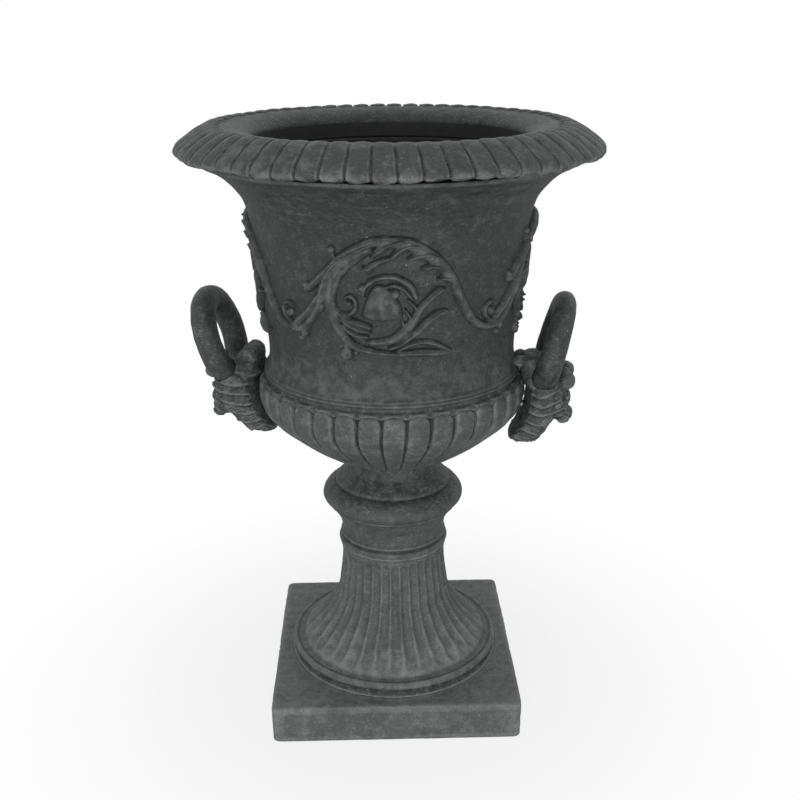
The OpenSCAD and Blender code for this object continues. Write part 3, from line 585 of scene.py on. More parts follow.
LEAVES = {
    "arch_leaf_1": (7.5, [(-8, 178, 2), (-22, 173, 3.6), (-34, 166, 4.2), (-44, 160, 2.6)]),
    "arch_leaf_2": (8.2, [(12, 179, 2), (-1, 175, 3.6), (-11, 168, 4.2), (-17, 162, 2.2)]),
    "arch_leaf_3": (8.2, [(27, 173, 2), (16, 173, 3.6), (8, 168, 4), (2, 162, 2.2)]),
    "arch_leaf_4": (8.2, [(47, 160, 2), (36, 164, 3.6), (27, 163, 3.8), (18, 160, 2)]),
    "arch_leaf_5": (8.0, [(58, 143, 2), (50, 149, 3.5), (42, 151, 3.5), (33, 150, 1.8)]),
    "arch_leaf_6": (7.5, [(69, 125, 1.8), (63, 133, 3.2), (56, 137, 3), (48, 137, 1.4)]),
    "sheath": (6.5, [(-50, 157, 2.6), (-61, 145, 3.7), (-68, 132, 4.2), (-73, 118, 4.6), (-76, 104, 5.4)]),
    "short_leaf_top": (7.0, [(-52, 100, 2), (-46, 95, 2.6), (-35, 91, 3.2), (-25, 88, 3.2), (-20, 86, 2)]),
    "short_leaf_mid": (6.5, [(-52, 94, 2), (-43, 88, 3), (-32, 83, 3.4), (-22, 82, 2.2)]),
    "short_leaf_low": (6.0, [(-50, 87, 2), (-42, 80, 2.8), (-33, 76, 3), (-24, 76, 1.8)]),
    "low_leaf": (6.5, [
        (-46, 72, 4), (-36, 64, 3.6), (-24, 60, 3), (-8, 58, 3), (9, 57, 3.3), (23, 57, 4.2),
        (37, 56.5, 4.8), (52, 55, 4.2), (66, 56, 1.2)]),
    "low_leaf_top": (5.5, [(8, 61, 1.4), (22, 67, 3), (35, 69, 3.4), (49, 65, 3.4), (66, 57, 1)]),
    "long_leaf": (7.0, [
        (-1, 63, 1.8), (9, 67, 2.8), (19, 74, 3.6), (28, 81, 4.3), (38, 91, 4.8), (49, 99, 4.2),
        (59, 102, 1.6)]),
    "frond_tip": (6.5, [(34, 108, 3), (41, 117, 4.4), (50, 124, 4.2), (55, 126, 2)]),
    "spike_1": (6.0, [(16, 84, 2.6), (13, 91, 1.8), (12, 96, 0.6)]),
    "spike_2": (6.0, [(22, 94, 2.6), (18, 101, 1.8), (15, 107, 0.6)]),
    "spike_3": (6.0, [(28, 104, 2.6), (23, 111, 2.2), (18, 116, 0.8)]),
    "hanging_leaf": (5.5, [(6, 162, 1.6), (-5, 159, 3.2), (-15, 154, 3.6), (-21, 149, 4), (-25, 150, 2.4)]),
    "tongue_high": (6.0, [
        (-54, 157, 2.4), (-63, 147, 3.2), (-73, 137, 3.7), (-82, 128, 4.2), (-90, 122, 3.6)]),
    "tongue_low": (5.5, [
        (-66, 131, 2.4), (-75, 118, 3.2), (-84, 106, 3.9), (-95, 94, 4.4), (-109, 83, 4.2)]),
}
KNOBS = [
    (-28, 129, 3.8, 6.5), (5, 123, 4.8, 6.5), (-57, 168, 3.6, 5.0), (-90, 127, 3.4, 5.5),
    (-99, 72, 4.6, 5.5), (-48, 55, 7.4, 6.5), (-37, 57, 2.9, 5.0), (131, 66, 3.4, 5.0),
    (118, 92, 5.0, 6.5), (-42, 112, 3.2, 6.5)]
BUD = [(-10, 125, 8), (-10, 121, 11.5), (-9, 115, 15), (-8.5, 109, 17.5), (-8, 103, 20), (-8, 98, 21.5)]


def along_stroke(grid, stroke, steps=6):
    """For each point of the grid: its distance from the stroke's middle in half widths, signed
    across the stroke, and how far along the stroke it lies, from 0 to 1."""
    path = smooth_path(stroke, steps)
    best = np.full(len(grid), 1e9)
    across = np.zeros(len(grid))
    along = np.zeros(len(grid))
    last = len(path) - 1
    for i in range(last):
        a, b = path[i], path[i + 1]
        d = b[:2] - a[:2]
        length2 = max(d @ d, 1e-9)
        rel = grid - a[:2]
        t = clip01(rel @ d / length2)
        off = rel - t[:, None] * d
        dist = np.hypot(off[:, 0], off[:, 1])
        width = a[2] + t * (b[2] - a[2])
        u = dist / width
        side = np.sign(d[0] * rel[:, 1] - d[1] * rel[:, 0])
        closer = u < best
        best = np.where(closer, u, best)
        across = np.where(closer, u * side, across)
        along = np.where(closer, (i + t) / last, along)
    return best, across, along


def carve_scroll(grid):
    """Height of the relief over the bell, and its tone at each point of the grid: pale where scuffed, and
    dark as painted shade in grooves and hollows.
    """
    height = np.zeros(len(grid))
    crest = np.zeros(len(grid))

    def lay(shape, shade):
        nonlocal height, crest
        above = shape > height
        height = np.where(above, shape, height)
        crest = np.where(above, shade, crest)

    for rise, stroke in STEMS.values():
        u, across = along_stroke(grid, stroke)[:2]
        body = np.maximum(0, 1 - u ** 2.6) ** 0.7
        # The groove beside a stem is painted darker as shade
        groove = 0.16 * np.exp(-((across - 0.42) / 0.13) ** 2)
        lay(rise * body * (1 - groove), 0.45 + 0.3 * body - 1.8 * groove)
    for rise, stroke in LEAVES.values():
        u, across = along_stroke(grid, stroke)[:2]
        body = np.maximum(0, 1 - u ** 3.4) ** 0.75
        vein = 0.22 * np.exp(-(across / 0.16) ** 2)
        # The hollows beside a leaf's vein are painted darker as shade
        hollow = 0.2 * np.exp(-((np.abs(across) - 0.45) / 0.2) ** 2)
        lay(rise * body * (1 + vein - hollow), 0.42 + 0.25 * body + 1.3 * vein - hollow)
    u, across, along = along_stroke(grid, BUD)
    # The blossom's petals fold down to a ragged hem
    off = grid[:, 0] + 8
    hem = 93.5 + 0.008 * off ** 2 + 1.6 * np.abs(np.sin(off * 0.34))
    body = np.maximum(0, 1 - u ** 4) ** 0.5 * blend_step(hem - 1.6, hem + 0.4, grid[:, 1])
    fold = 0.14 * np.cos(across * 9) * blend_step(0.15, 0.7, along) - 0.16 * blend_step(0.5, 1, along)
    lay(7 * body * (1 - 0.25 * np.abs(across)) * (1 + fold), 0.4 + 0.25 * body + fold)
    for x, z, r, rise in KNOBS:
        d = np.hypot(grid[:, 0] - x, grid[:, 1] - z) / r
        turn = np.arctan2(grid[:, 1] - z, grid[:, 0] - x)
        body = np.sqrt(np.maximum(0, 1 - d ** 2.6))
        coil = 0.12 * np.cos(d * 7.5 - turn)
        lay(rise * body * (0.95 + coil), 0.5 + 0.3 * body + coil)
    return height, crest


def make_scrolls():
    """The relief is one carving that repeats four times round the bell."""
    step = 0.75
    period = 2 * math.pi * SCROLL_R / SCROLLS
    columns = int(period / step)
    low, high = 44, 190
    x = (np.arange(columns + 1) / columns - 0.5) * period
    z = np.arange(low, high, step)
    gx, gz = np.meshgrid(x, z)
    grid = np.column_stack([gx.ravel(), gz.ravel()])
    height, crest = np.zeros(len(grid)), np.zeros(len(grid))
    for shift in (-period, 0, period):
        h, c = carve_scroll(grid + np.array([shift, 0]))
        crest = np.where(h > height, c, crest)
        height = np.maximum(h, height)
    height = height.reshape(gx.shape)
    crest = crest.reshape(gx.shape)
    for _ in range(2):
        padded = np.pad(height, 1, mode="edge")
        near = (padded[:-2, 1:-1] + padded[2:, 1:-1] + padded[1:-1, :-2] + padded[1:-1, 2:]) / 4
        height = np.where(height > 0.4, 0.6 * height + 0.4 * near, height)
    outside = evenly(smooth_path(bell_outside(), 8), 1)
    base_r = np.interp(BOWL_TOP + gz, outside[:, 1], outside[:, 0])
    solid = height > 0.35
    cell = solid[:-1, :-1] | solid[1:, :-1] | solid[:-1, 1:] | solid[1:, 1:]
    rows, cols = gx.shape
    index = np.arange(rows * cols).reshape(rows, cols)
    a, b, c, d = (index[:-1, :-1][cell], index[:-1, 1:][cell], index[1:, 1:][cell], index[1:, :-1][cell])
    top = np.stack([a, b, c, d], -1)
    used, flat = np.unique(top, return_inverse=True)
    top = flat.reshape(top.shape)
    count = len(used)
    under = top[:, ::-1] + count
    edges = np.vstack([top[:, [k, (k + 1) % 4]] for k in range(4)])
    key = edges[:, 0] * count + edges[:, 1]
    back = edges[:, 1] * count + edges[:, 0]
    rim = edges[~np.isin(key, back)]
    walls = np.stack([rim[:, 1], rim[:, 0], rim[:, 0] + count, rim[:, 1] + count], -1)
    faces = np.vstack([top, under, walls]).tolist()
    pieces = []
    for k, side in enumerate(("front", "right", "back", "left")):
        angle = gx / SCROLL_R - math.pi / 2 + SCROLL_TURN + k * 2 * math.pi / SCROLLS
        skins = []
        for lift in (np.maximum(height, 0.1), np.full_like(height, -1.2)):
            r = base_r + lift
            skin = np.stack([r * np.cos(angle), r * np.sin(angle), BOWL_TOP + gz], -1)
            skins.append(skin.reshape(-1, 3)[used])
        grain = cast_grain(skins[0], 61 + k) * 0.6
        out = skins[0] * np.array([1, 1, 0])
        out /= np.linalg.norm(out, axis=1)[:, None]
        rub_and_shade = crest.ravel()[used] + 0.25 * noise(skins[0], 5, 66)
        skins[0] = skins[0] + out * grain[:, None]
        pieces.append(make_piece("scroll_relief_" + side, np.vstack(skins), faces, np.tile(rub_and_shade, 2)))
    return pieces


# Ring handles and masks

RING_R = 46.5
RING_TUBE_R = 15.5
# Distance of a ring's centre from the urn's axis, its outward lean, its tube's share of full
# thickness, and how much less that is at the top
RING_SETTING = {"left": (208.5, 17, 1, 0), "right": (190.7, 13.5, 0.94, 0.06)}
# How far each mask was set forward, how much higher its muzzle lies, and how far its stub stands
# off the bell
MASK_SETTING = {"left": (6, -8, 4), "right": (0, -0.5, 0)}
HANDLE_TURN = math.radians(8.4)


def handle_angle(side):
    return math.pi - HANDLE_TURN if side == "left" else -HANDLE_TURN


def to_handle(points, side):
    """From [outwards, across, up] at a handle to the urn's own frame."""
    a = handle_angle(side)
    x = points[:, 0] * math.cos(a) - points[:, 1] * math.sin(a)
    y = points[:, 0] * math.sin(a) + points[:, 1] * math.cos(a)
    return np.column_stack([x, y, points[:, 2]])


def ring_centre_z(side):
    low, high = box_mm("ring_" + side)
    return (low[2] + high[2]) / 2


def ring_skin(side, tube_r, rows, columns, seed=None):
    """A ring's skin in the handle's own frame: outwards, across and up."""
    reach, lean, share, thinner = RING_SETTING[side]
    lean = math.radians(lean)
    a, b = np.meshgrid(turns(rows), turns(columns), indexing="ij")
    a, b = a.ravel(), b.ravel()
    spine = np.column_stack([np.zeros(len(a)), np.sin(a), np.cos(a)])
    across = share - thinner * np.cos(a)
    out = np.column_stack([across * np.sin(b), np.cos(b) * np.sin(a), np.cos(b) * np.cos(a)])
    flat = spine * RING_R + out * tube_r
    if seed is not None:
        uneven = noises(flat, seed, (0.5, 26), (0.3, 9), (0.12, 3.5))
        flat = flat + out * (uneven - 0.5)[:, None]
    x = flat[:, 0] * math.cos(lean) + flat[:, 2] * math.sin(lean)
    z = -flat[:, 0] * math.sin(lean) + flat[:, 2] * math.cos(lean)
    points = np.column_stack([x + reach, flat[:, 1], z + ring_centre_z(side)])
    return points, closed_faces(rows, columns)


def make_ring(side, seed):
    """A thick ring, cast and rubbed down by hand and so a little uneven, which leans outwards."""
    rows, columns = ((170, 64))
    points, faces = ring_skin(side, RING_TUBE_R, rows, columns, seed)
    rub_and_shade = 0.4 + 0.22 * noise(points, 7, seed + 4) + 0.2 * noise(points, 30, seed + 5)
    return make_piece("ring_handle_" + side, to_handle(points, side), faces, rub_and_shade)


# Body of a mask from its beard up to the stub behind the ring: height above the beard's end,
# radius of the back, of the front, and half width, all in millimetres
MASK_ROWS = [
    (0, 150, 167, 12), (1.5, 146, 171.5, 18), (4, 143, 175, 23), (8, 141.5, 179, 29),
    (13, 143.5, 183, 33), (20, 148, 187.5, 36), (28, 152, 192.5, 38.5), (37, 155.8, 198, 41),
    (48, 159, 204, 42.5), (58, 160.6, 207, 43.5), (67, 160.6, 209, 43.5), (73, 160.3, 209, 42),
    (79, 155.5, 208, 40), (85, 154, 206, 37), (90, 153.5, 200, 33), (95, 153, 185, 28),
    (101, 154, 181, 26.5), (106, 157, 178, 23), (109, 162, 174, 16)]
# Rounded forms of the beast's face: centre out from the axis, across and up, then half sizes.
# Those off the middle are made on both sides.
MASK_FORMS = [
    (206.5, 0, 34, 11, 16.5, 12), (196, 0, 41, 17, 21, 14), (211.5, 0, 37, 6.2, 9.5, 6.5),
    (205, 0, 56, 9.5, 7.5, 17), (207, 20, 82, 11, 17, 10), (204, 0, 80, 11, 14, 12),
    (199, 26, 51, 11, 13, 12), (206.5, 16, 61.5, 7, 6.5, 5),
    (206, 11, 34, 9, 9, 9), (184, 38, 72, 12, 8, 10), (196, 36, 60, 9, 7, 9)]
# The right-hand stub leans on the bell
STUB_LEAN = {"left": [], "right": [(154, 12, 101, 10, 10, 6.5)]}
MUZZLE_TOP = 45
LOCK_PITCH = 12.5


def join_shells(shells):
    points, faces, count = [], [], 0
    for p, f in shells:
        points.append(p)
        faces += [[v + count for v in face] for face in f]
        count += len(p)
    return np.vstack(points), faces


def round_form(x, y, z, rx, ry, rz):
    rows, columns = 12, 20
    up = np.linspace(-1.45, 1.45, rows)[:, None]
    turn = turns(columns)[None, :]
    px, py = x + rx * np.cos(up) * np.cos(turn), y + ry * np.cos(up) * np.sin(turn)
    pz = z + rz * np.sin(up)
    points = np.stack([px, py, np.broadcast_to(pz, px.shape)], -1).reshape(-1, 3)
    return points, capped_faces(rows, columns)


def mask_body(foot_z, stand_off):
    """A stack of rounded oblongs, whose backs follow the round of the bowl."""
    columns = 40
    stub_foot = 82
    power = 2 / 2.9
    turn = turns(columns)
    points = []
    for up, rear, front, half in MASK_ROWS:
        rear += stand_off * (up > stub_foot)
        middle, reach = (rear + front) / 2, (front - rear) / 2
        x =middle + reach * np.sign(np.cos(turn)) * np.abs(np.cos(turn)) ** power
        y = half * np.sign(np.sin(turn)) * np.abs(np.sin(turn)) ** power
        x = np.maximum(x, np.sqrt(rear ** 2 - y ** 2))
        points.append(np.column_stack([x, y, np.full(columns, foot_z + up)]))
    return np.vstack(points), capped_faces(len(MASK_ROWS), columns)


def bulge(mesh, spread):
    """How far each point stands out from its neighbours, in millimetres."""
    pairs = read_each(mesh.edges, "vertices", 2, np.int32)
    count = np.bincount(pairs.ravel(), minlength=len(mesh.vertices))[:, None]

    def near(values):
        total = np.zeros_like(values)
        np.add.at(total, pairs[:, 0], values[pairs[:, 1]])
        np.add.at(total, pairs[:, 1], values[pairs[:, 0]])
        return total / np.maximum(count, 1)

    points = read_points(mesh) / MM
    smooth = points
    for _ in range(spread):
        smooth = near(smooth)
    out = np.einsum("ij,ij->i", points - smooth, read_points(mesh, "normal"))[:, None]
    return near(out)[:, 0]


def make_mask(side, seed):
    """A beast's mask, modelled by hand: brows, eyes, a drooping muzzle and a beard and mane in
    stacked locks. It holds the ring in a channel across its crown."""
    foot_z = box_mm("mask_" + side)[0][2]
    forward, muzzle_lift, stand_off = MASK_SETTING[side]
    shells = [mask_body(foot_z, stand_off)]
    for x, y, up, rx, ry, rz in MASK_FORMS + STUB_LEAN[side]:
        lift = muzzle_lift if up < MUZZLE_TOP else 0
        for hand in ((1,) if y == 0 else (-1, 1)):
            shells.append(round_form(x, hand * y, foot_z + up + lift, rx, ry, rz))
    piece = make_piece("mask_casting_" + side, *join_shells(shells))
    voxel = 0.85 * MM
    apply_modifier(piece, "REMESH", mode="VOXEL", voxel_size=voxel, use_smooth_shade=True)
    apply_modifier(piece, "SMOOTH", factor=0.5, iterations=10)
    mesh = piece.data
    points = read_points(mesh) / MM
    normal = read_points(mesh, "normal")
    x, y, up = points[:, 0], points[:, 1], points[:, 2] - foot_z
    # Locks of hair lie over each other like tiles, each with its lip over the next one down
    beard = blend_step(24, 16, up)
    flank = blend_step(0.4, 0.75, np.abs(normal[:, 1])) * blend_step(76, 68, up)
    hairy = np.maximum(flank, beard) * blend_step(-0.5, 0.0, normal[:, 0] + np.abs(normal[:, 1]))
    sag = 4.5 * ((x - 177) / 20) ** 2 * blend_step(0.3, 0.8, np.abs(normal[:, 1]))
    sway = 0.22 * noise(points, 17, seed) + 0.1 * np.sin(y * 0.55) * beard
    tier = (up - 68 - sag) / LOCK_PITCH + sway
    lock = tier % 1
    lip = 3.6 * (1 - lock) ** 0.9 * blend_step(0, 0.1, lock) - 1.4
    strand = 0.25 * np.sin(2 * math.pi * (0.16 * x + 0.3 * up + 0.9 * noise(points, 11, seed + 3)))
    shape = hairy * (lip + strand)
    # Sunk round the eyes, under the brows, at the nostrils and along the mouth
    for ex, ey, ez, size, depth in ((209, 13, 70, 5, 3), (212, 0, 66, 5, 1.6), (214, 5.5, 34.5, 2.2, 2.2),
                                    (205, 9, 24.5, 6, 3.5), (205, 0, 24.5, 7, 3.5), (203, 27, 66, 5, 2)):
        lift = muzzle_lift if ez < MUZZLE_TOP else 0
        for hand in ((1,) if ey == 0 else (-1, 1)):
            gap = np.linalg.norm((points - [ex, hand * ey, foot_z + ez + lift]) / [1.4, 1.3, 1], axis=1)
            shape -= depth * np.exp(-(gap / size) ** 2)
    furrow = blend_step(0.5, 0.9, normal[:, 0]) * blend_step(70, 76, up)
    shape -= furrow * 0.8 * np.maximum(0, np.sin(y * 0.75))
    grain = noises(points, seed + 5, (0.55, 8), (0.45, 3.4), (0.2, 1.7))
    # Nothing is raised where the ring lies in its channel
    reach, lean = RING_SETTING[side][:2]
    lean = math.radians(lean)
    dx, dz = x - reach, points[:, 2] - ring_centre_z(side)
    level, rise = dx * math.cos(lean) - dz * math.sin(lean), dx * math.sin(lean) + dz * math.cos(lean)
    gap = np.hypot(level, np.hypot(y, rise) - RING_R) - RING_TUBE_R
    points = points + normal * ((shape + grain) * blend_step(-1, 4, gap))[:, None]
    points[:, 0] += forward * blend_step(172, 196, x)
    move_points(mesh, points)
    cut_out(piece, *ring_skin(side, RING_TUBE_R + 0.5, 90, 36))
    mesh = piece.data
    points = read_points(mesh) / MM
    # The mask's hollows are painted darker as shade, and its bulges paler as scuffs
    set_rub_and_shade(mesh, 0.42 + 1.3 * bulge(mesh, 9) + 0.1 * noise(points, 6, seed + 8))
    mesh.polygons.foreach_set("use_smooth", [True] * len(mesh.polygons))
    move_points(mesh, to_handle(points, side))
    return piece


# Materials

def hex_linear(text):
    """A linear colour from an sRGB hex value."""
    channels = [int(text[i:i + 2], 16) / 255 for i in (1, 3, 5)]
    return [c / 12.92 if c <= 0.04045 else ((c + 0.055) / 1.055) ** 2.4 for c in channels] + [1]


def feed(tree, node, inputs):
    """Gives a node's inputs their values and hex colours, or links them from sockets."""
    for name, value in inputs.items():
        if isinstance(value, bpy.types.NodeSocket):
            tree.links.new(value, node.inputs[name])
        else:
            node.inputs[name].default_value = hex_linear(value) if isinstance(value, str) else value
    return node


def add(tree, kind, inputs=None, **settings):
    node = tree.nodes.new(kind)
    for name, value in settings.items():
        setattr(node, name, value)
    return feed(tree, node, inputs or {})


def new_material(name):
    """A material, its nodes, its shader, and the place on the piece that its patterns follow."""
    material = bpy.data.materials.new(name)
    material.use_nodes = True
    tree = material.node_tree
    where = add(tree, "ShaderNodeTexCoord").outputs["Object"]
    return material, tree, tree.nodes["Principled BSDF"], where


def noise_at(tree, where, size_mm, detail=2.0, roughness=0.5):
    inputs = {"Vector": where, "Scale": 1 / (size_mm * MM), "Detail": detail, "Roughness": roughness}
    return add(tree, "ShaderNodeTexNoise", inputs).outputs["Fac"]


def cells_at(tree, where, size_mm):
    return add(tree, "ShaderNodeTexVoronoi", {"Vector": where, "Scale": 1 / (size_mm * MM)}).outputs


def red_of(tree, colour):
    return add(tree, "ShaderNodeSeparateColor", {"Color": colour}).outputs[0]


def combine(tree, operation, first, second):
    return add(tree, "ShaderNodeMath", {0: first, 1: second}, operation=operation).outputs[0]


def ramp(tree, value, low, high, to_low=0.0, to_high=1.0):
    inputs = {"Value": value, "From Min": low, "From Max": high, "To Min": to_low, "To Max": to_high}
    return add(tree, "ShaderNodeMapRange", inputs).outputs["Result"]


def mix_colour(tree, share, first, second, blend="MIX"):
    # Sockets 0, 6 and 7 are the colour mix's share and its two colours, and 2 is its result
    inputs = {0: share, 6: first, 7: second}
    return add(tree, "ShaderNodeMix", inputs, data_type="RGBA", blend_type=blend).outputs[2]


def tone_by(tree, colour, level):
    """The colour, darkened or lightened by a level."""
    grey = add(tree, "ShaderNodeCombineColor", {"Red": level, "Green": level, "Blue": level})
    return mix_colour(tree, 1.0, colour, grey.outputs[0], "MULTIPLY")


def bump(tree, height, strength, depth_mm, **under):
    """Raises the surface by a height, over the bumps given as Normal."""
    inputs = {"Height": height, "Strength": strength, "Distance": depth_mm * MM, **under}
    return add(tree, "ShaderNodeBump", inputs).outputs[0]


def cast_stone(name, base, pale, deep, hammering):
    """Charcoal-pigmented cast stone, tamped into its mould and brushed: gritty and dimpled, with
    pits and pale specks of aggregate, painted shade darkening its hollows, and scuffed paler on its edges."""
    material, tree, shader, where = new_material(name)
    rub_and_shade = add(tree, "ShaderNodeAttribute", attribute_name="rub_and_shade").outputs["Fac"]
    cloud = noise_at(tree, where, 45, 3)
    blotch = noise_at(tree, where, 12, 3, 0.6)
    hammered = noise_at(tree, where, 5, 3, 0.6)
    grit = noise_at(tree, where, 1.5, 3, 0.7)
    # Low values paint shade into the hollows with the deep colour; high ones pale the scuffed edges
    rub_and_shade_tone = combine(tree, "ADD", rub_and_shade, ramp(tree, blotch, 0.3, 0.7, -0.22, 0.22))
    colour = mix_colour(tree, ramp(tree, rub_and_shade_tone, 0.5, 1.0), base, pale)
    colour = mix_colour(tree, ramp(tree, rub_and_shade_tone, 0.35, -0.05), colour, deep)
    # Brushed streaks and scuffs, then the tone of whole patches and of single grains
    stretched = add(tree, "ShaderNodeVectorMath", {0: where, 1: (1, 1, 2.2)}, operation="MULTIPLY")
    streaks = ramp(tree, noise_at(tree, stretched.outputs["Vector"], 4.5, 4, 0.7), 0.52, 0.66)
    scuff = combine(tree, "MULTIPLY", streaks, ramp(tree, blotch, 0.36, 0.6, 0.15, 0.9))
    colour = mix_colour(tree, scuff, colour, pale)
    colour = tone_by(tree, colour, ramp(tree, cloud, 0.3, 0.7, 0.86, 1.1))
    colour = tone_by(tree, colour, ramp(tree, grit, 0.25, 0.75, 0.72, 1.26))
    # Pits are 1 to 2 mm wide, and the aggregate's specks under 1 mm
    pit = ramp(tree, cells_at(tree, where, 5.5)["Distance"], 0.16, 0.08)
    pit = combine(tree, "MULTIPLY", pit, ramp(tree, blotch, 0.5, 0.62))
    colour = mix_colour(tree, pit, colour, deep)
    specks = cells_at(tree, where, 6.5)
    chosen = ramp(tree, red_of(tree, specks["Color"]), 0.955, 0.97)
    speck = combine(tree, "MULTIPLY", ramp(tree, specks["Distance"], 0.09, 0.05), chosen)
    colour = mix_colour(tree, speck, colour, "#c9cbc8")
    fine = bump(tree, grit, 0.6, 0.7)
    rough = bump(tree, hammered, hammering, 2.4, Normal=fine)
    feed(tree, shader, {
        "Base Color": colour, "Specular IOR Level": 0.3,
        "Roughness": ramp(tree, grit, 0.3, 0.7, 0.44, 0.66),
        "Normal": bump(tree, pit, 0.6, -0.8, Normal=rough)})
    return material


def galvanised_steel(name):
    """Zinc-plated steel: a dull grey metal with a faint crystal mottle."""
    material, tree, shader, where = new_material(name)
    crystal = red_of(tree, cells_at(tree, where, 4)["Color"])
    feed(tree, shader, {
        "Base Color": mix_colour(tree, crystal, "#8b9092", "#a9adae"), "Metallic": 1,
        "Roughness": ramp(tree, noise_at(tree, where, 3), 0.3, 0.7, 0.38, 0.55),
        "Normal": bump(tree, noise_at(tree, where, 0.8), 0.15, 0.1)})
    return material


def painted_inside_shade(name):
    """Painted shade for the inside of the urn: a nearly black, dull coat standing in for the shadow there.
    """
    material, tree, shader, where = new_material(name)
    patch = ramp(tree, noise_at(tree, where, 18, 3, 0.6), 0.3, 0.7)
    feed(tree, shader, {
        "Base Color": mix_colour(tree, patch, "#101111", "#1b1c1c"),
        "Roughness": ramp(tree, patch, 0, 1, 0.6, 0.8),
        "Normal": bump(tree, noise_at(tree, where, 4, 3), 0.4, 0.8)})
    return material


def black_rubber(name):
    """Moulded EPDM rubber: nearly black, with a fine matt bloom."""
    material, tree, shader, where = new_material(name)
    bloom = noise_at(tree, where, 2)
    feed(tree, shader, {
        "Base Color": mix_colour(tree, ramp(tree, bloom, 0.3, 0.7), "#1c1d1e", "#2b2c2d"),
        "Roughness": ramp(tree, bloom, 0.3, 0.7, 0.6, 0.75)})
    return material


# Setting the pieces in place

stone_body = cast_stone("charcoal_cast_stone", "#3c3f3e", "#5e6261", "#262928", 0.85)
stone_relief = cast_stone("charcoal_cast_stone_pressed", "#404342", "#646867", "#333635", 0.35)
stone_lip = cast_stone("charcoal_cast_stone_brushed", "#464948", "#737776", "#2c2f2e", 0.4)
stone_rubbed = cast_stone("charcoal_cast_stone_rubbed", "#525655", "#7a7e7d", "#333635", 0.35)
stone_foot = cast_stone("charcoal_cast_stone_weathered", "#5d6160", "#838786", "#3b3e3d", 0.4)
# A near-black coat inside the urn, which is painted shade
inside_shade_material = painted_inside_shade("painted_inside_shade")
steel = galvanised_steel("zinc_plated_steel")
rubber = black_rubber("epdm_rubber")


def place(piece, material, node):
    piece.data.materials.clear()
    piece.data.materials.append(material)
    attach(piece, "root")
    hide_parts(node)
    return piece


def paint_inside_shade(piece):
    """Gives the faces round the soil a near-black coat of painted shade, up to the foot of the lip's slope.
    """
    bowl = scaled(INSIDE_SHARES[::-1], BOWL_R * 0.95 - WALL, SOCLE_TOP + FLOOR_T, BOWL_TOP)
    bell = [[min(MOUTH_R, r - WALL), z] for r, z in bell_outside()]
    wall = np.vstack([bowl, bell, [MOUTH_R, CREST - 19]])
    mesh = piece.data
    mesh.materials.append(inside_shade_material)
    x, y, z = read_each(mesh.polygons, "center").T / MM
    inside = np.hypot(x, y) < np.interp(z, wall[:, 1], wall[:, 0]) + 4
    shaded_inside = inside & (z > wall[0, 1] - 1.5) & (z < wall[-1, 1])
    mesh.polygons.foreach_set("material_index", shaded_inside.astype(np.int32))


place(make_plinth(), stone_foot, "plinth")
place(make_foot(), stone_foot, "fluted_foot")
place(make_socle(), stone_rubbed, "socle")
paint_inside_shade(place(make_bowl(), stone_rubbed, "gadroon_bowl"))
paint_inside_shade(place(make_bell(), stone_body, "bell"))
paint_inside_shade(place(make_lip(), stone_lip, "lip_ring"))
for relief, side in zip(make_scrolls(), ("front", "right", "back", "left")):
    place(relief, stone_relief, "scroll_" + side)
for side, seed in (("left", 71), ("right", 75)):
    place(make_ring(side, seed), stone_lip, "ring_" + side)
    place(make_mask(side, seed + 10), stone_lip, "mask_" + side)

STEEL_NODES = ["ring_core_left", "ring_core_right", "mask_bolts", "mask_washers", "tie_rod",
               "rod_washers", "rod_nuts", "foot_strap"]
for name in STEEL_NODES + ["rod_gasket"]:
    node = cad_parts[name]
    finish = rubber if name == "rod_gasket" else steel
    if not node.material_slots:
        node.data.materials.append(finish)
    for material_slot in node.material_slots:
        material_slot.material = finish


# Studio: a white floor, white air all round, one soft lamp and the camera

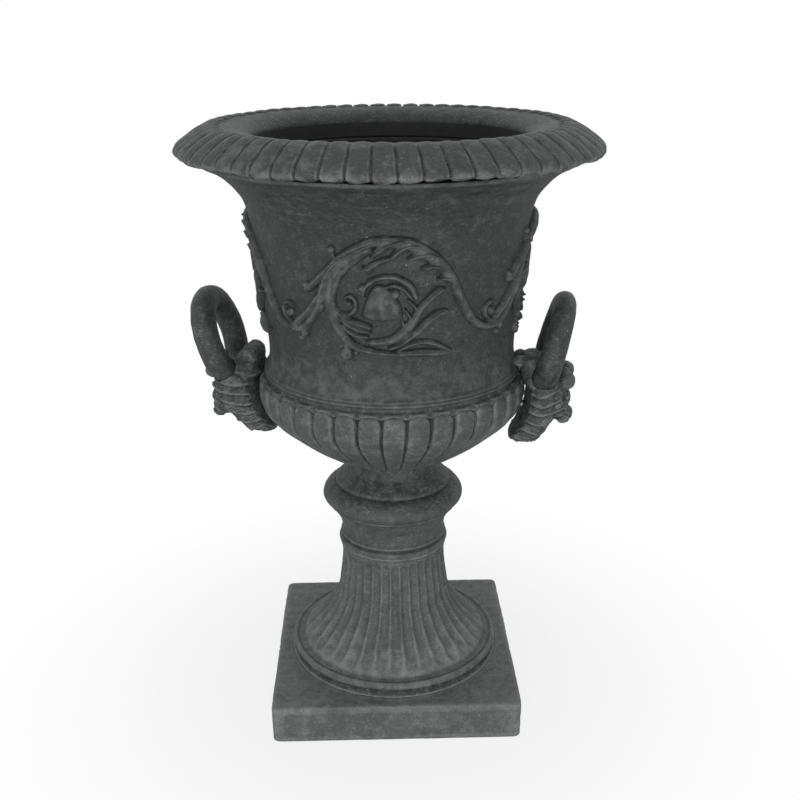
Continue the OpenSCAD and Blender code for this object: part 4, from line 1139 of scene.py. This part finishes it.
def make_floor():
    half = 6.0
    points = np.array([[-half, -half, 0], [half, -half, 0], [half, half, 0], [-half, half, 0]]) / MM
    floor = make_piece("studio_floor", points, [[0, 1, 2, 3]], flat=True)
    material, tree, shader, where = new_material("white_floor_paint")
    tint = mix_colour(tree, noise_at(tree, where, 300), "#fafafa", "#fdfdfd")
    feed(tree, shader, {"Base Color": tint, "Roughness": 0.9})
    # The floor runs into the white backdrop, and near the urn it keeps a faint shadow
    seen = add(tree, "ShaderNodeLightPath").outputs["Is Camera Ray"]
    away = add(tree, "ShaderNodeVectorMath", {0: where}, operation="LENGTH").outputs["Value"]
    share = combine(tree, "MULTIPLY", seen, ramp(tree, away, 0.22, 0.55, 0.82, 1.0))
    white = add(tree, "ShaderNodeEmission", {"Color": [1, 1, 1, 1], "Strength": 1.0})
    both = add(tree, "ShaderNodeMixShader", {0: share, 1: shader.outputs[0], 2: white.outputs[0]})
    feed(tree, tree.nodes["Material Output"], {"Surface": both.outputs[0]})
    floor.data.materials.append(material)


def make_world():
    world = bpy.data.worlds.new("studio_air")
    bpy.context.scene.world = world
    world.use_nodes = True
    tree = world.node_tree
    tree.nodes.clear()
    seen = add(tree, "ShaderNodeLightPath").outputs
    clear = combine(tree, "MAXIMUM", seen["Is Camera Ray"], seen["Is Glossy Ray"])
    clear = combine(tree, "MAXIMUM", clear, seen["Is Transmission Ray"])
    soft = add(tree, "ShaderNodeBackground", {"Color": [1, 1, 1, 1], "Strength": 0.42})
    white = add(tree, "ShaderNodeBackground", {"Color": [1, 1, 1, 1], "Strength": 1.0})
    both = add(tree, "ShaderNodeMixShader", {0: clear, 1: soft.outputs[0], 2: white.outputs[0]})
    add(tree, "ShaderNodeOutputWorld", {"Surface": both.outputs[0]})


def make_lamp(name, place_m, aim_m, size_m, watts):
    lamp = bpy.data.lights.new(name, "AREA")
    lamp.shape = "SQUARE"
    lamp.size = size_m
    lamp.energy = watts
    holder = add_object(name, lamp)
    holder.location = place_m
    holder.rotation_euler = (Vector(aim_m) - Vector(place_m)).to_track_quat("-Z", "Y").to_euler()


def make_camera():
    """The photograph's own view, fitted to its printed sizes."""
    focal_px, frame_px, sensor_mm = 1064.2, 800, 36
    drop_px = 36.3
    tilt, roll, turn = math.radians(90 - 22.41), math.radians(-0.33), math.radians(-1.42)
    camera = bpy.data.cameras.new("camera")
    camera.sensor_width = sensor_mm
    camera.lens = focal_px / frame_px * sensor_mm
    camera.shift_y = drop_px / frame_px
    holder = add_object("camera", camera)
    stand = Matrix.Translation((9.43 * MM, -1215.2 * MM, 841.2 * MM))
    aim = Matrix.Rotation(tilt, 4, "X") @ Matrix.Rotation(roll, 4, "Z")
    holder.matrix_world = Matrix.Rotation(turn, 4, "Z") @ stand @ aim
    bpy.context.scene.camera = holder


make_floor()
make_world()
make_lamp("front_softbox", (-0.25, -2.6, 0.45), (0, 0, 0.35), 1.5, 33)
make_camera()
bpy.context.scene.view_settings.view_transform = "Standard"
